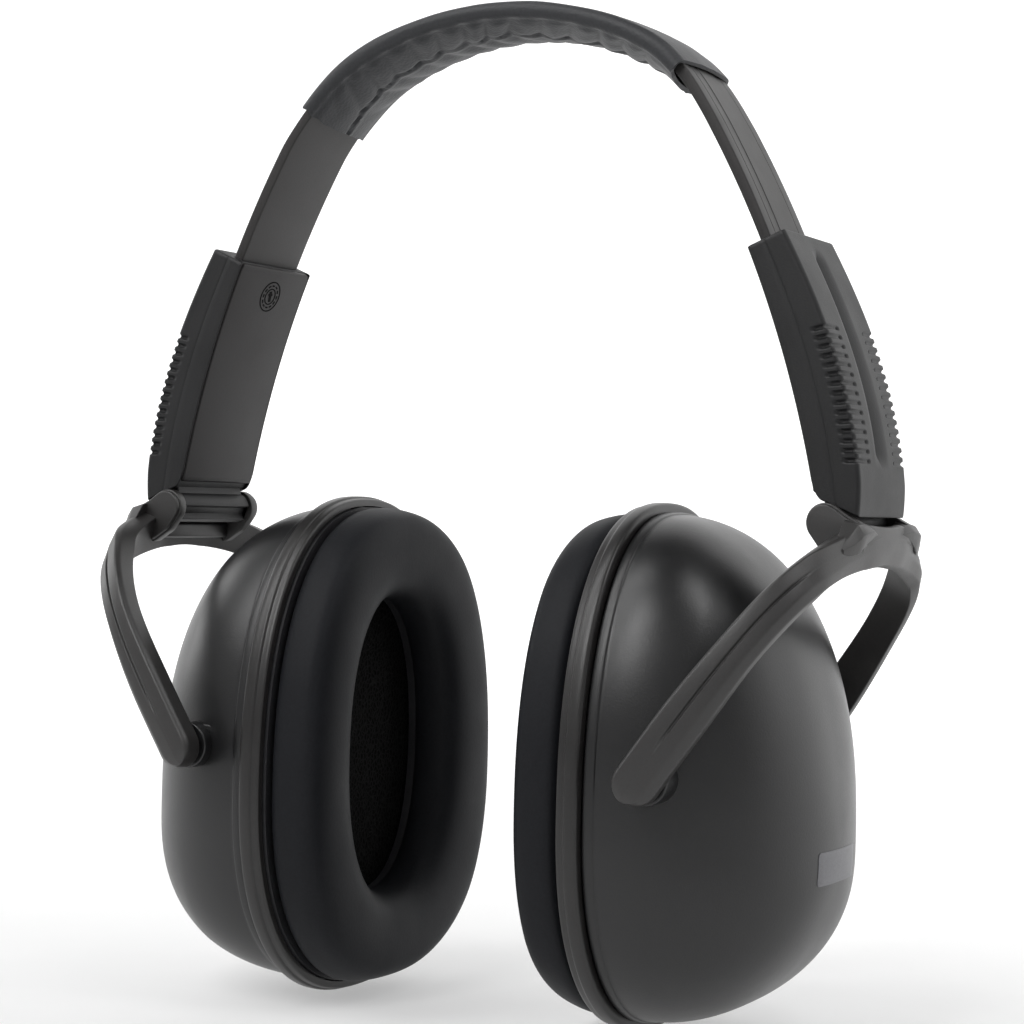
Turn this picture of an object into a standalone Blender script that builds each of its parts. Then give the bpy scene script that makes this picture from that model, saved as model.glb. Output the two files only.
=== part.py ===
"""Foldable over-head ear defenders, modelled piece by piece.

The sizes below are millimetres and make_object turns them into metres. X runs from the left cup to the
right cup, Y from front to back, Z up. Heights are measured from the lowest point of the cups, and the
empty called crown_frame lowers everything so that the origin is the middle of the crown pad's underside,
where the part rests on a head. A side is 1 for the right and -1 for the left.
"""
import math

import bmesh
import bpy
from mathutils import Vector

MM = 0.001
GAP = 0.3                    # play between neighbouring pieces

# Headband: a crown arc, a tight shoulder arc and a long flat arc that the slider follows
CROWN_TOP = 201.4            # height of the band's middle layer at the crown
BAND_THICKNESS = 2.2
BAND_HALF_WIDTH = 10.3
SHOULDER_RADIUS = 30.0
SHOULDER_END_ANGLE = 31.3    # degrees above the horizontal, as all the band's angles
SLIDE_RADIUS = 230.0
ENTRY_X = 60.0               # where the band enters the slider
ENTRY_HEIGHT = 154.6
ENTRY_ANGLE = 23.5
BAND_HIDDEN = 18.5           # length of band inside the slider
STOP_LENGTH = 2.0            # raised lip on the band's end
STOP_HEIGHT = 1.1

# Crown sleeve and the foam under the band
SLEEVE_WALL = 0.7
SLEEVE_HALF_WIDTH = 12.9
SLEEVE_LEFT = 50.0           # length along the band from the crown to the left end
SLEEVE_RIGHT = 44.0
SLEEVE_EDGE = 1.6            # width of the thin edge beside the band
SLEEVE_SHOULDER = 6.5        # half-width of the thick middle
FOAM_THICKNESS = 1.5
FOAM_HALF_WIDTH = 8.0
FOAM_EDGE = 0.3
FOAM_SETBACK = 3.0           # how far the foam ends inside the sleeve

# Slider housing, drawn as radii about the slide arc's centre
COVER_INNER = -3.3           # offsets from the band's middle layer
COVER_THICKNESS = 1.5
HOUSING_HALF_WIDTH = 13.6
HOUSING_TOP_ANGLE = 23.3
HOUSING_CAVITY_END = 12.0
HOUSING_BULGE = ((23.3, 4.4), (20.5, 5.3), (18.0, 6.1), (15.0, 6.5), (12.5, 6.2), (10.2, 5.5))
HOUSING_WALL = 1.8
HOUSING_SIDE_WALL = 2.2
HOUSING_TOP_WALL = 0.55      # degrees
COVER_END_ANGLE = 11.0
FOOT_INNER_X = 73.6
SLOT_PLAY = 0.45
FOOT_CORNER = (80.7, 102.3)  # outer lower corner of the housing
FOOT_SLOPE = 0.49            # the housing's foot rises inward by this much for each millimetre
SPRING_ANGLES = (22.0, 19.6)
SPRING_RISE = 0.9
SPRING_LEAF = 0.4
SPRING_HALF_WIDTH = 4.0

# Fold hinge between slider and yoke
HINGE = (74.5, 100.9)
BARREL_RADIUS = 3.3
BARREL_HALF_WIDTH = 12.2
CHEEK_RADIUS = 3.7
CHEEK_INNER = 12.5
CHEEK_OUTER = 15.5
HINGE_PIN_RADIUS = 1.3
HINGE_PIN_END = 14.2         # the cheeks hide the pin's ends
NECK_PROFILE = ((72.9, 101.9), (77.1, 101.9), (78.7, 105.5), (73.6, 107.1))
CHEEK_PROFILE = ((73.6, 95.9), (77.4, 93.4), (81.4, 92.2), (84.0, 94.6), (84.2, 98.4))
CHEEK_SHOULDER = (83.2, 79.2)
SHOULDER_PLAY = 0.35
CROSSBAR_PROFILE = ((77.2, 93.2), (81.4, 92.0), (84.0, 94.6), (84.1, 98.2), (83.0, 99.6), (79.4, 100.2),
                    (78.8, 97.6), (77.0, 96.8))

# Yoke arms
ARM_PATH = ((80.0, -16.0, 95.6), (75.0, -36.0, 90.0), (67.6, -39.5, 79.7), (50.3, -43.1, 53.2))
ARM_SECTION = ((-4.2, -2.3), (4.2, -2.3), (4.2, 0.6), (2.0, 2.4), (-2.0, 2.4), (-4.2, 0.6))
ARM_STEPS = 9
PIVOT = (50.3, 53.2)         # cup pivot, x and height
ARM_END_RADIUS = 4.25
ARM_END_FACES = (40.2, 45.4)
BOSS_RADIUS = 4.6
BOSS_FACE = 39.8
BOSS_ROOT = 33.8             # inside the cup's wall
PIVOT_PIN_RADIUS = 1.5
PIVOT_PIN_ENDS = (37.2, 43.6)

# Ear cup
CUP_HEIGHT = 104.0
CUP_MIDDLE = 46.0            # height where the rim is widest
RIM_HALF_WIDTH = 40.7
RIM_FACES = (32.0, 37.4)
RIM_WIDTH = 1.9
RIM_CHAMFER = 0.5
SHELL_WALL = 2.2
SHELL_EDGE = 2.2             # from the rim's outline to the dome's
SHELL_FOOT = 33.4
SHELL_ROOT = 37.0
SHELL_DEPTH = 37.0
SHELL_TIP_HEIGHT = 37.5
SHELL_POWER = 2.2            # fullness of the dome across and downward
SHELL_TOP_POWER = 1.9
SHELL_LAYERS = (84, 76, 67, 57, 46, 34, 20, 5)
PLATE_FACES = (31.3, 33.1)
CUSHION_FACE = 21.5
CUSHION_BACK = 31.0
OPENING_HALF_WIDTH = 19.5
OPENING_TOP = 83.0
OPENING_BOTTOM = 21.0
CUSHION_INSET = 3.0
# share of the way from the cushion's outline to its opening, and distance from the middle of the head
CUSHION_STATIONS = ((0.03, CUSHION_BACK), (-0.02, 28.6), (0.03, 24.8), (0.14, 22.4), (0.30, CUSHION_FACE),
                    (0.64, CUSHION_FACE), (0.84, 22.6), (0.97, 25.4), (1.0, 28.6), (0.96, CUSHION_BACK))
LINER_FACES = (35.5, 57.0)
LINER_PLAY = 2.0
CUP_SIDES = 32

PLASTIC = (0.022, 0.022, 0.024, 1.0)
BROWN_PLASTIC = (0.035, 0.032, 0.031, 1.0)
LEATHERETTE = (0.045, 0.048, 0.055, 1.0)
CUSHION_SKIN = (0.016, 0.017, 0.020, 1.0)
BLACK_FOAM = (0.006, 0.006, 0.007, 1.0)
STEEL = (0.55, 0.55, 0.56, 1.0)


# ---------------------------------------------------------------- scene helpers

def clear_scene():
    for old in list(bpy.data.objects):
        bpy.data.objects.remove(old, do_unlink=True)


def make_material(name, colour, roughness, metallic=0.0):
    material = bpy.data.materials.new(name)
    material.use_nodes = True
    shader = material.node_tree.nodes["Principled BSDF"]
    shader.inputs["Base Color"].default_value = colour
    shader.inputs["Roughness"].default_value = roughness
    shader.inputs["Metallic"].default_value = metallic
    return material


def make_empty(name, place, parent=None):
    """An empty at a place given in millimetres and heights above the cups' lowest point."""
    empty = bpy.data.objects.new(name, None)
    empty.empty_display_size = 0.01
    empty["place"] = list(place)
    start = Vector(parent["place"]) if parent else Vector((0, 0, CROWN_HEIGHT))
    empty.location = (Vector(place) - start) * MM
    empty.parent = parent
    bpy.context.collection.objects.link(empty)
    return empty


def make_object(name, bm, parent, material=None):
    """Turn a bmesh in millimetres into an object whose origin is its parent's."""
    bmesh.ops.recalc_face_normals(bm, faces=bm.faces)
    bmesh.ops.translate(bm, vec=-Vector(parent["place"]), verts=bm.verts)
    bmesh.ops.scale(bm, vec=(MM, MM, MM), verts=bm.verts)
    mesh = bpy.data.meshes.new(name)
    bm.to_mesh(mesh)
    bm.free()
    piece = bpy.data.objects.new(name, mesh)
    piece.parent = parent
    bpy.context.collection.objects.link(piece)
    if material:
        mesh.materials.append(material)
        mesh.shade_smooth()
        mesh.set_sharp_from_angle(angle=math.radians(32))
    else:
        piece.hide_render = True
        piece.display_type = "WIRE"
    return piece


def combine(target, tool, operation):
    boolean = target.modifiers.new(operation.lower(), "BOOLEAN")
    boolean.operation = operation
    boolean.object = tool


# ---------------------------------------------------------------- mesh helpers

def loft(loops, ring=False):
    """Join equal loops of points in order, and close the ends with caps, or into a ring."""
    bm = bmesh.new()
    rows = [[bm.verts.new(point) for point in loop] for loop in loops]
    pairs = list(zip(rows, rows[1:]))
    if ring:
        pairs.append((rows[-1], rows[0]))
    else:
        bm.faces.new(rows[0])
        bm.faces.new(rows[-1])
    for low, high in pairs:
        for i in range(len(low)):
            j = (i + 1) % len(low)
            bm.faces.new((low[i], low[j], high[j], high[i]))
    return bm


def prism(profile, side, y_low, y_high):
    """Extrude a profile of (x, height) points along Y."""
    return loft([[(side * x, y, z) for x, z in profile] for y in (y_low, y_high)])


def rod(side, centre, radius, y_low, y_high, steps=20):
    profile = [(centre[0] + radius * math.cos(2 * math.pi * i / steps),
                centre[1] + radius * math.sin(2 * math.pi * i / steps)) for i in range(steps)]
    return prism(profile, side, y_low, y_high)


def polar(centre, radius, degrees):
    angle = math.radians(degrees)
    return centre[0] + radius * math.cos(angle), centre[1] + radius * math.sin(angle)


# ---------------------------------------------------------------- the band's arcs

SLIDE_CENTRE = polar((ENTRY_X, ENTRY_HEIGHT), -SLIDE_RADIUS, ENTRY_ANGLE)
SHOULDER_CENTRE = polar(SLIDE_CENTRE, SLIDE_RADIUS - SHOULDER_RADIUS, SHOULDER_END_ANGLE)


def crown_radius():
    """Radius of the arc that tops out at the crown and meets the shoulder arc without a kink."""
    drop = SHOULDER_CENTRE[1] - CROWN_TOP
    square = SHOULDER_RADIUS ** 2 - drop ** 2 - SHOULDER_CENTRE[0] ** 2
    return square / (2 * (drop + SHOULDER_RADIUS))


CROWN_RADIUS = crown_radius()
CROWN_CENTRE = (0.0, CROWN_TOP - CROWN_RADIUS)
CROWN_END_ANGLE = math.degrees(math.atan2(SHOULDER_CENTRE[1] - CROWN_CENTRE[1], SHOULDER_CENTRE[0]))
CROWN_LENGTH = CROWN_RADIUS * math.radians(90 - CROWN_END_ANGLE)
SHOULDER_LENGTH = SHOULDER_RADIUS * math.radians(CROWN_END_ANGLE - SHOULDER_END_ANGLE)
EXPOSED_LENGTH = SLIDE_RADIUS * math.radians(SHOULDER_END_ANGLE - ENTRY_ANGLE)
HALF_BAND = CROWN_LENGTH + SHOULDER_LENGTH + EXPOSED_LENGTH + BAND_HIDDEN
PAD_DEPTH = BAND_THICKNESS / 2 + FOAM_THICKNESS + 2 * GAP + SLEEVE_WALL
CROWN_HEIGHT = CROWN_TOP - PAD_DEPTH


def band_point(distance, offset):
    """The (x, height) point at a distance along the band from the crown, offset outward."""
    side = -1 if distance < 0 else 1
    run = abs(distance)
    if run <= CROWN_LENGTH:
        centre, radius, angle = CROWN_CENTRE, CROWN_RADIUS, 90 - math.degrees(run / CROWN_RADIUS)
    elif run <= CROWN_LENGTH + SHOULDER_LENGTH:
        centre, radius = SHOULDER_CENTRE, SHOULDER_RADIUS
        angle = CROWN_END_ANGLE - math.degrees((run - CROWN_LENGTH) / SHOULDER_RADIUS)
    else:
        centre, radius = SLIDE_CENTRE, SLIDE_RADIUS
        angle = SHOULDER_END_ANGLE - math.degrees((run - CROWN_LENGTH - SHOULDER_LENGTH) / SLIDE_RADIUS)
    x, height = polar(centre, radius + offset, angle)
    return side * x, height


def band_section(distance, section):
    """Place a section of (y, offset) points across the band at a distance from the crown."""
    loop = []
    for y, offset in section:
        x, height = band_point(distance, offset)
        loop.append((x, y, height))
    return loop


def spread(start, end, steps):
    return [start + (end - start) * i / steps for i in range(steps + 1)]


# ---------------------------------------------------------------- headband

def headband_band(parent, material):
    half = BAND_THICKNESS / 2
    wide = BAND_HALF_WIDTH
    plain = [(-wide, -half), (wide, -half), (wide, half), (-wide, half)]
    lipped = [(y, half + STOP_HEIGHT if offset > 0 else offset) for y, offset in plain]
    lip_start = HALF_BAND - STOP_LENGTH
    distances = spread(-lip_start, lip_start, 44)
    loops = [band_section(-HALF_BAND, lipped), band_section(-lip_start - 0.01, lipped)]
    loops += [band_section(distance, plain) for distance in distances]
    loops += [band_section(lip_start + 0.01, lipped), band_section(HALF_BAND, lipped)]
    return make_object("headband_band", loft(loops), parent, material)


def sleeve_section(inset):
    """Outline of the soft sleeve: flat above the band, crowned below it, drawn inset by a wall."""
    wide = SLEEVE_HALF_WIDTH - inset
    top = BAND_THICKNESS / 2 + GAP + SLEEVE_WALL - inset
    low = -PAD_DEPTH + inset
    edge = wide - SLEEVE_EDGE
    edge_low = -1.7 + inset * 0.6
    under = [(-wide, -0.2), (-edge, edge_low), (-SLEEVE_SHOULDER, low + 0.7), (0.0, low)]
    under += [(SLEEVE_SHOULDER, low + 0.7), (edge, edge_low), (wide, -0.2)]
    return under + [(edge, top), (0.0, top), (-edge, top)]


def headband_sleeve(parent, material):
    distances = spread(-SLEEVE_LEFT, SLEEVE_RIGHT, 18)
    outer = [band_section(distance, sleeve_section(0.0)) for distance in distances]
    inner = [band_section(distance, sleeve_section(SLEEVE_WALL)) for distance in reversed(distances)]
    return make_object("headband_sleeve", loft(outer + inner, ring=True), parent, material)


def headband_foam(parent, material):
    top = -BAND_THICKNESS / 2 - GAP
    edge = top - FOAM_EDGE
    section = [(-FOAM_HALF_WIDTH, top), (-FOAM_HALF_WIDTH, edge), (0.0, top - FOAM_THICKNESS + 0.2)]
    section += [(FOAM_HALF_WIDTH, edge), (FOAM_HALF_WIDTH, top)]
    distances = spread(FOAM_SETBACK - SLEEVE_LEFT, SLEEVE_RIGHT - FOAM_SETBACK, 16)
    loops = [band_section(distance, section) for distance in distances]
    return make_object("headband_foam", loft(loops), parent, material)


# ---------------------------------------------------------------- slider

def slide_arc(offset, start, end, steps=7):
    return [polar(SLIDE_CENTRE, SLIDE_RADIUS + offset, angle) for angle in spread(start, end, steps)]


def foot_height(x):
    return FOOT_CORNER[1] + FOOT_SLOPE * (FOOT_CORNER[0] - x)


def slider_housing(side, label, parent, material):
    """Outer shell with a band mouth, a hollow that the cover closes and the hinge barrel."""
    seat = COVER_INNER + COVER_THICKNESS + GAP
    outer = [polar(SLIDE_CENTRE, SLIDE_RADIUS + rise, angle) for angle, rise in HOUSING_BULGE]
    profile = outer + [FOOT_CORNER, (FOOT_INNER_X, foot_height(FOOT_INNER_X))]
    profile += slide_arc(seat, COVER_END_ANGLE + 0.2, HOUSING_TOP_ANGLE)
    width = HOUSING_HALF_WIDTH
    housing = make_object(label + "_slider_housing", prism(profile, side, -width, width), parent, material)

    roof = [polar(SLIDE_CENTRE, SLIDE_RADIUS + rise - HOUSING_WALL, angle)
            for angle, rise in HOUSING_BULGE[1:-1]]
    top_angle = HOUSING_TOP_ANGLE - HOUSING_TOP_WALL
    hollow = [polar(SLIDE_CENTRE, SLIDE_RADIUS + HOUSING_BULGE[0][1] - HOUSING_WALL, top_angle)] + roof
    hollow += slide_arc(seat - 2.0, HOUSING_CAVITY_END + 0.2, top_angle)
    wide = HOUSING_HALF_WIDTH - HOUSING_SIDE_WALL
    cavity = make_object(label + "_slider_cavity_cutter", prism(hollow, side, -wide, wide), parent)
    combine(housing, cavity, "DIFFERENCE")

    slot = BAND_THICKNESS / 2 + SLOT_PLAY
    mouth_profile = slide_arc(seat - 2.0, HOUSING_TOP_ANGLE - 1.2, HOUSING_TOP_ANGLE + 1, 2)
    mouth_profile += slide_arc(slot, HOUSING_TOP_ANGLE + 1, HOUSING_TOP_ANGLE - 1.2, 2)
    reach = BAND_HALF_WIDTH + SLOT_PLAY
    mouth = make_object(label + "_slider_mouth_cutter", prism(mouth_profile, side, -reach, reach), parent)
    combine(housing, mouth, "DIFFERENCE")

    end = BARREL_HALF_WIDTH
    barrel = make_object(label + "_barrel_guide", rod(side, HINGE, BARREL_RADIUS, -end, end), parent)
    combine(housing, barrel, "UNION")
    neck = make_object(label + "_neck_guide", prism(NECK_PROFILE, side, 0.2 - end, end - 0.2), parent)
    combine(housing, neck, "UNION")
    hole = rod(side, HINGE, HINGE_PIN_RADIUS + GAP, -end - 1, end + 1, 16)
    combine(housing, make_object(label + "_hinge_bore_cutter", hole, parent), "DIFFERENCE")
    return housing


def slider_cover(side, label, parent, material):
    profile = slide_arc(COVER_INNER, HOUSING_TOP_ANGLE, COVER_END_ANGLE)
    profile += slide_arc(COVER_INNER + COVER_THICKNESS, COVER_END_ANGLE + 0.3, HOUSING_TOP_ANGLE)
    width = HOUSING_HALF_WIDTH - 0.2
    return make_object(label + "_slider_cover", prism(profile, side, -width, width), parent, material)


def friction_spring(side, label, parent, material):
    """Bowed steel leaf between the housing's outer wall and the band."""
    near = BAND_THICKNESS / 2 + GAP
    steps = 8
    under = []
    over = []
    for i, angle in enumerate(spread(*SPRING_ANGLES, steps)):
        bow = SPRING_RISE * (1 - math.sin(math.pi * i / steps))
        under.append(polar(SLIDE_CENTRE, SLIDE_RADIUS + near + bow, angle))
        over.append(polar(SLIDE_CENTRE, SLIDE_RADIUS + near + bow + SPRING_LEAF, angle))
    leaf = prism(under + over[::-1], side, -SPRING_HALF_WIDTH, SPRING_HALF_WIDTH)
    return make_object(label + "_friction_spring", leaf, parent, material)


def hinge_pin(side, label, parent, material):
    pin = rod(side, HINGE, HINGE_PIN_RADIUS, -HINGE_PIN_END, HINGE_PIN_END, 16)
    return make_object(label + "_hinge_pin", pin, parent, material)


# ---------------------------------------------------------------- yoke

def bezier(points, t):
    a, b, c, d = (Vector(point) for point in points)
    s = 1 - t
    place = a * s ** 3 + b * 3 * t * s ** 2 + c * 3 * t ** 2 * s + d * t ** 3
    heading = (b - a) * s ** 2 + (c - b) * 2 * s * t + (d - c) * t ** 2
    return place, heading.normalized()


def arm(side, back):
    """One arm: a flat-faced bar with bevelled shoulders, swept from the crossbar to the cup pivot."""
    loops = []
    for t in spread(0.0, 1.0, ARM_STEPS):
        place, heading = bezier(ARM_PATH, t)
        outward = (Vector((0, -1, 0)) + heading * heading.y).normalized()
        across = heading.cross(outward)
        loop = []
        for shift, lift in ARM_SECTION:
            x, y, z = place + across * shift + outward * lift
            loop.append((side * x, back * -y, z))
        loops.append(loop)
    return loft(loops)


def cheek_profile():
    """Hinge lobe, sloping shoulder and crossbar end, seen along Y."""
    lobe = [polar(HINGE, CHEEK_RADIUS, angle) for angle in spread(62, 210, 9)]
    return lobe + list(CHEEK_PROFILE) + [(x, foot_height(x) - SHOULDER_PLAY) for x in CHEEK_SHOULDER]


def yoke(side, label, parent, material):
    end = CHEEK_INNER + 0.6
    yoke_piece = make_object(label + "_yoke", prism(CROSSBAR_PROFILE, side, -end, end), parent, material)
    guides = []
    for back in (-1, 1):
        low, high = sorted((back * CHEEK_INNER, back * CHEEK_OUTER))
        guides.append(("cheek", prism(cheek_profile(), side, low, high)))
        guides.append(("arm", arm(side, back)))
        low, high = sorted(back * face for face in ARM_END_FACES)
        guides.append(("arm_end", rod(side, PIVOT, ARM_END_RADIUS, low, high, 24)))
    for number, (kind, shape) in enumerate(guides):
        guide = make_object("{}_{}_guide_{}".format(label, kind, number), shape, parent)
        combine(yoke_piece, guide, "UNION")
    for back in (-1, 1):
        low, high = sorted((back * (CHEEK_INNER - 0.5), back * (HINGE_PIN_END + GAP)))
        socket = rod(side, HINGE, HINGE_PIN_RADIUS + GAP, low, high, 16)
        cutter = make_object("{}_cheek_socket_cutter_{}".format(label, 1 + back), socket, parent)
        combine(yoke_piece, cutter, "DIFFERENCE")
        low, high = sorted((back * (ARM_END_FACES[0] - 1), back * (PIVOT_PIN_ENDS[1] + GAP)))
        socket = rod(side, PIVOT, PIVOT_PIN_RADIUS + GAP, low, high, 16)
        cutter = make_object("{}_arm_socket_cutter_{}".format(label, 1 + back), socket, parent)
        combine(yoke_piece, cutter, "DIFFERENCE")
    return yoke_piece


def pivot_pin(side, label, back, parent, material):
    low, high = sorted(back * end for end in PIVOT_PIN_ENDS)
    where = "front" if back < 0 else "rear"
    pin = rod(side, PIVOT, PIVOT_PIN_RADIUS, low, high, 16)
    return make_object("{}_{}_pivot_pin".format(label, where), pin, parent, material)


# ---------------------------------------------------------------- ear cup

def outline(half_width, top, bottom, middle, power=2.3):
    """Egg-shaped loop of (y, height) points, widest at the middle height."""
    loop = []
    for i in range(CUP_SIDES):
        turn = 2 * math.pi * i / CUP_SIDES
        c, s = math.cos(turn), math.sin(turn)
        reach = top - middle if s > 0 else middle - bottom
        y = half_width * math.copysign(abs(c) ** (2 / power), c)
        loop.append((y, middle + reach * math.copysign(abs(s) ** (2 / power), s)))
    return loop


def rim_outline(inset):
    return outline(RIM_HALF_WIDTH - inset, CUP_HEIGHT - inset, inset, CUP_MIDDLE)


def opening_outline(inset=0.0):
    middle = (OPENING_TOP + OPENING_BOTTOM) / 2
    return outline(OPENING_HALF_WIDTH - inset, OPENING_TOP - inset, OPENING_BOTTOM + inset, middle)


def at_depth(side, x, loop):
    return [(side * x, y, z) for y, z in loop]


def dome_loop(depth, wall):
    """Outline of the dome at a share of its depth, drawn inside its outer surface by a wall."""
    shrink = (1 - depth ** SHELL_POWER) ** (1 / SHELL_POWER)
    top_shrink = (1 - depth ** SHELL_TOP_POWER) ** (1 / SHELL_TOP_POWER)
    half_width = (RIM_HALF_WIDTH - SHELL_EDGE) * shrink
    top = SHELL_TIP_HEIGHT + (CUP_HEIGHT - SHELL_EDGE - SHELL_TIP_HEIGHT) * top_shrink
    bottom = SHELL_TIP_HEIGHT - (SHELL_TIP_HEIGHT - SHELL_EDGE) * shrink
    middle = CUP_MIDDLE + (SHELL_TIP_HEIGHT - CUP_MIDDLE) * depth
    squareness = 2.3 + 0.4 * min(1.0, 2 * depth)
    return outline(half_width - wall, top - wall, bottom + wall, middle, squareness)


def cup_shell(side, label, parent, material):
    """Hollow dome with a boss on its front and its back for the yoke's pins."""
    depths = [math.sin(math.radians(angle)) for angle in SHELL_LAYERS]
    loops = [at_depth(side, SHELL_ROOT + SHELL_DEPTH * depth, dome_loop(depth, 0.0)) for depth in depths]
    loops.append(at_depth(side, SHELL_FOOT, dome_loop(0.0, 0.0)))
    loops.append(at_depth(side, SHELL_FOOT, dome_loop(0.0, SHELL_WALL)))
    for depth in reversed(depths[1:]):
        x = SHELL_ROOT + (SHELL_DEPTH - SHELL_WALL) * depth
        loops.append(at_depth(side, x, dome_loop(depth, SHELL_WALL)))
    shell = make_object(label + "_cup_shell", loft(loops), parent, material)
    for back in (-1, 1):
        low, high = sorted((back * BOSS_ROOT, back * BOSS_FACE))
        boss = rod(side, PIVOT, BOSS_RADIUS, low, high, 24)
        combine(shell, make_object("{}_boss_guide_{}".format(label, 1 + back), boss, parent), "UNION")
        low, high = sorted((back * (PIVOT_PIN_ENDS[0] - GAP), back * (BOSS_FACE + 1)))
        hole = rod(side, PIVOT, PIVOT_PIN_RADIUS + GAP, low, high, 16)
        cutter = make_object("{}_boss_hole_cutter_{}".format(label, 1 + back), hole, parent)
        combine(shell, cutter, "DIFFERENCE")
    return shell


def rim_ring(side, label, parent, material):
    low, high = RIM_FACES
    soft = RIM_CHAMFER
    stations = [(low, soft), (low + soft, 0.0), (high - soft, 0.0), (high, soft), (high, RIM_WIDTH)]
    stations.append((low, RIM_WIDTH))
    loops = [at_depth(side, x, rim_outline(inset)) for x, inset in stations]
    return make_object(label + "_rim_ring", loft(loops, ring=True), parent, material)


def seal_plate(side, label, parent, material):
    low, high = PLATE_FACES
    outer = RIM_WIDTH + GAP
    loops = [at_depth(side, low, rim_outline(outer)), at_depth(side, high, rim_outline(outer)),
             at_depth(side, high, opening_outline(-0.5)), at_depth(side, low, opening_outline(-0.5))]
    return make_object(label + "_seal_plate", loft(loops, ring=True), parent, material)


def ear_cushion(side, label, parent, material):
    """Fat soft ring with a flat sealing face."""
    outer = rim_outline(CUSHION_INSET)
    inner = opening_outline()
    loops = []
    for share, x in CUSHION_STATIONS:
        blend = [(a[0] + (b[0] - a[0]) * share, a[1] + (b[1] - a[1]) * share) for a, b in zip(outer, inner)]
        loops.append(at_depth(side, x, blend))
    return make_object(label + "_ear_cushion", loft(loops, ring=True), parent, material)


def foam_liner(side, label, parent, material):
    """Block of acoustic foam that fills the back of the cup."""
    front, back = LINER_FACES
    inset = SHELL_WALL + LINER_PLAY
    loops = [at_depth(side, front, dome_loop(0.0, inset))]
    for x in spread(SHELL_ROOT, back, 4):
        depth = (x - SHELL_ROOT) / (SHELL_DEPTH - SHELL_WALL)
        loops.append(at_depth(side, x, dome_loop(depth, inset)))
    return make_object(label + "_foam_liner", loft(loops), parent, material)


# ---------------------------------------------------------------- assembly

def build_side(side, label, frame, look):
    slide = make_empty(label + "_slide_axis", (side * SLIDE_CENTRE[0], 0, SLIDE_CENTRE[1]), frame)
    fold = make_empty(label + "_fold_axis", (side * HINGE[0], 0, HINGE[1]), slide)
    tilt = make_empty(label + "_tilt_axis", (side * PIVOT[0], 0, PIVOT[1]), fold)
    slider_housing(side, label, slide, look["housing"])
    slider_cover(side, label, slide, look["cover"])
    friction_spring(side, label, slide, look["spring"])
    hinge_pin(side, label, slide, look["pin"])
    yoke(side, label, fold, look["yoke"])
    for back in (-1, 1):
        pivot_pin(side, label, back, fold, look["pin"])
    cup_shell(side, label, tilt, look["shell"])
    rim_ring(side, label, tilt, look["rim"])
    seal_plate(side, label, tilt, look["plate"])
    ear_cushion(side, label, tilt, look["cushion"])
    foam_liner(side, label, tilt, look["liner"])


def main():
    clear_scene()
    look = {
        "band": make_material("band_plastic", BROWN_PLASTIC, 0.45),
        "sleeve": make_material("sleeve_leatherette", LEATHERETTE, 0.55),
        "pad": make_material("crown_foam", BLACK_FOAM, 0.9),
        "housing": make_material("housing_plastic", PLASTIC, 0.55),
        "cover": make_material("cover_plastic", BROWN_PLASTIC, 0.4),
        "spring": make_material("spring_steel", STEEL, 0.3, 1.0),
        "pin": make_material("pin_steel", STEEL, 0.35, 1.0),
        "yoke": make_material("yoke_plastic", BROWN_PLASTIC, 0.5),
        "shell": make_material("shell_plastic", PLASTIC, 0.38),
        "rim": make_material("rim_plastic", BROWN_PLASTIC, 0.4),
        "plate": make_material("plate_plastic", PLASTIC, 0.5),
        "cushion": make_material("cushion_skin", CUSHION_SKIN, 0.5),
        "liner": make_material("acoustic_foam", BLACK_FOAM, 0.95),
    }
    frame = make_empty("crown_frame", (0, 0, 0))
    headband_band(frame, look["band"])
    headband_sleeve(frame, look["sleeve"])
    headband_foam(frame, look["pad"])
    build_side(1, "right", frame, look)
    build_side(-1, "left", frame, look)


main()
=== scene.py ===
"""Looks of the foldable ear defenders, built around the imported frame.

Lengths in the shape code are millimetres. Points are (x, y, height), with x from the middle of the head
to the right, y from front to back, and the height measured from the lowest point of the cups. A side is
1 for the right and -1 for the left.
"""

import math

import bmesh
import bpy
import numpy as np
from mathutils import Matrix, Vector, noise

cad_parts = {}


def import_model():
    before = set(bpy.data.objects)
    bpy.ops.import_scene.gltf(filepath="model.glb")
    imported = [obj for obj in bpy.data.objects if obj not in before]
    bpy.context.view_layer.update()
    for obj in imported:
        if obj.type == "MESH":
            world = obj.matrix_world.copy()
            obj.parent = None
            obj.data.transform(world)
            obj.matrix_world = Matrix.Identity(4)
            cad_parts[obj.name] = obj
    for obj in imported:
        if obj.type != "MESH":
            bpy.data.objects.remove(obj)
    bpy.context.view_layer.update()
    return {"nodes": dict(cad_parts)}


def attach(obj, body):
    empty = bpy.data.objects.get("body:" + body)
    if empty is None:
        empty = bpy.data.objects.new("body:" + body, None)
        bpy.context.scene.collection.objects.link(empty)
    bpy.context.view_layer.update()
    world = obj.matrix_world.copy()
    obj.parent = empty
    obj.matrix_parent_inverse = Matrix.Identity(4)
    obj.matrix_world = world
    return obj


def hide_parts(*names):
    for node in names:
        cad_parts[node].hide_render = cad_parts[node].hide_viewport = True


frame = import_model()

MM = 0.001
CROWN_HEIGHT = 197.5
SIDES = ((1, "right"), (-1, "left"))


# ---------------------------------------------------------------- mesh helpers

def world(points):
    """Millimetres and heights to metres in the frame."""
    placed = np.asarray(points, dtype=float) * MM
    placed[..., 2] -= CROWN_HEIGHT * MM
    return placed


def face_outward(mesh, flip=False):
    """Turn every face outward, or inward."""
    bm = bmesh.new()
    bm.from_mesh(mesh)
    bmesh.ops.recalc_face_normals(bm, faces=bm.faces)
    if flip:
        bmesh.ops.reverse_faces(bm, faces=bm.faces)
    bm.to_mesh(mesh)
    bm.free()


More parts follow.
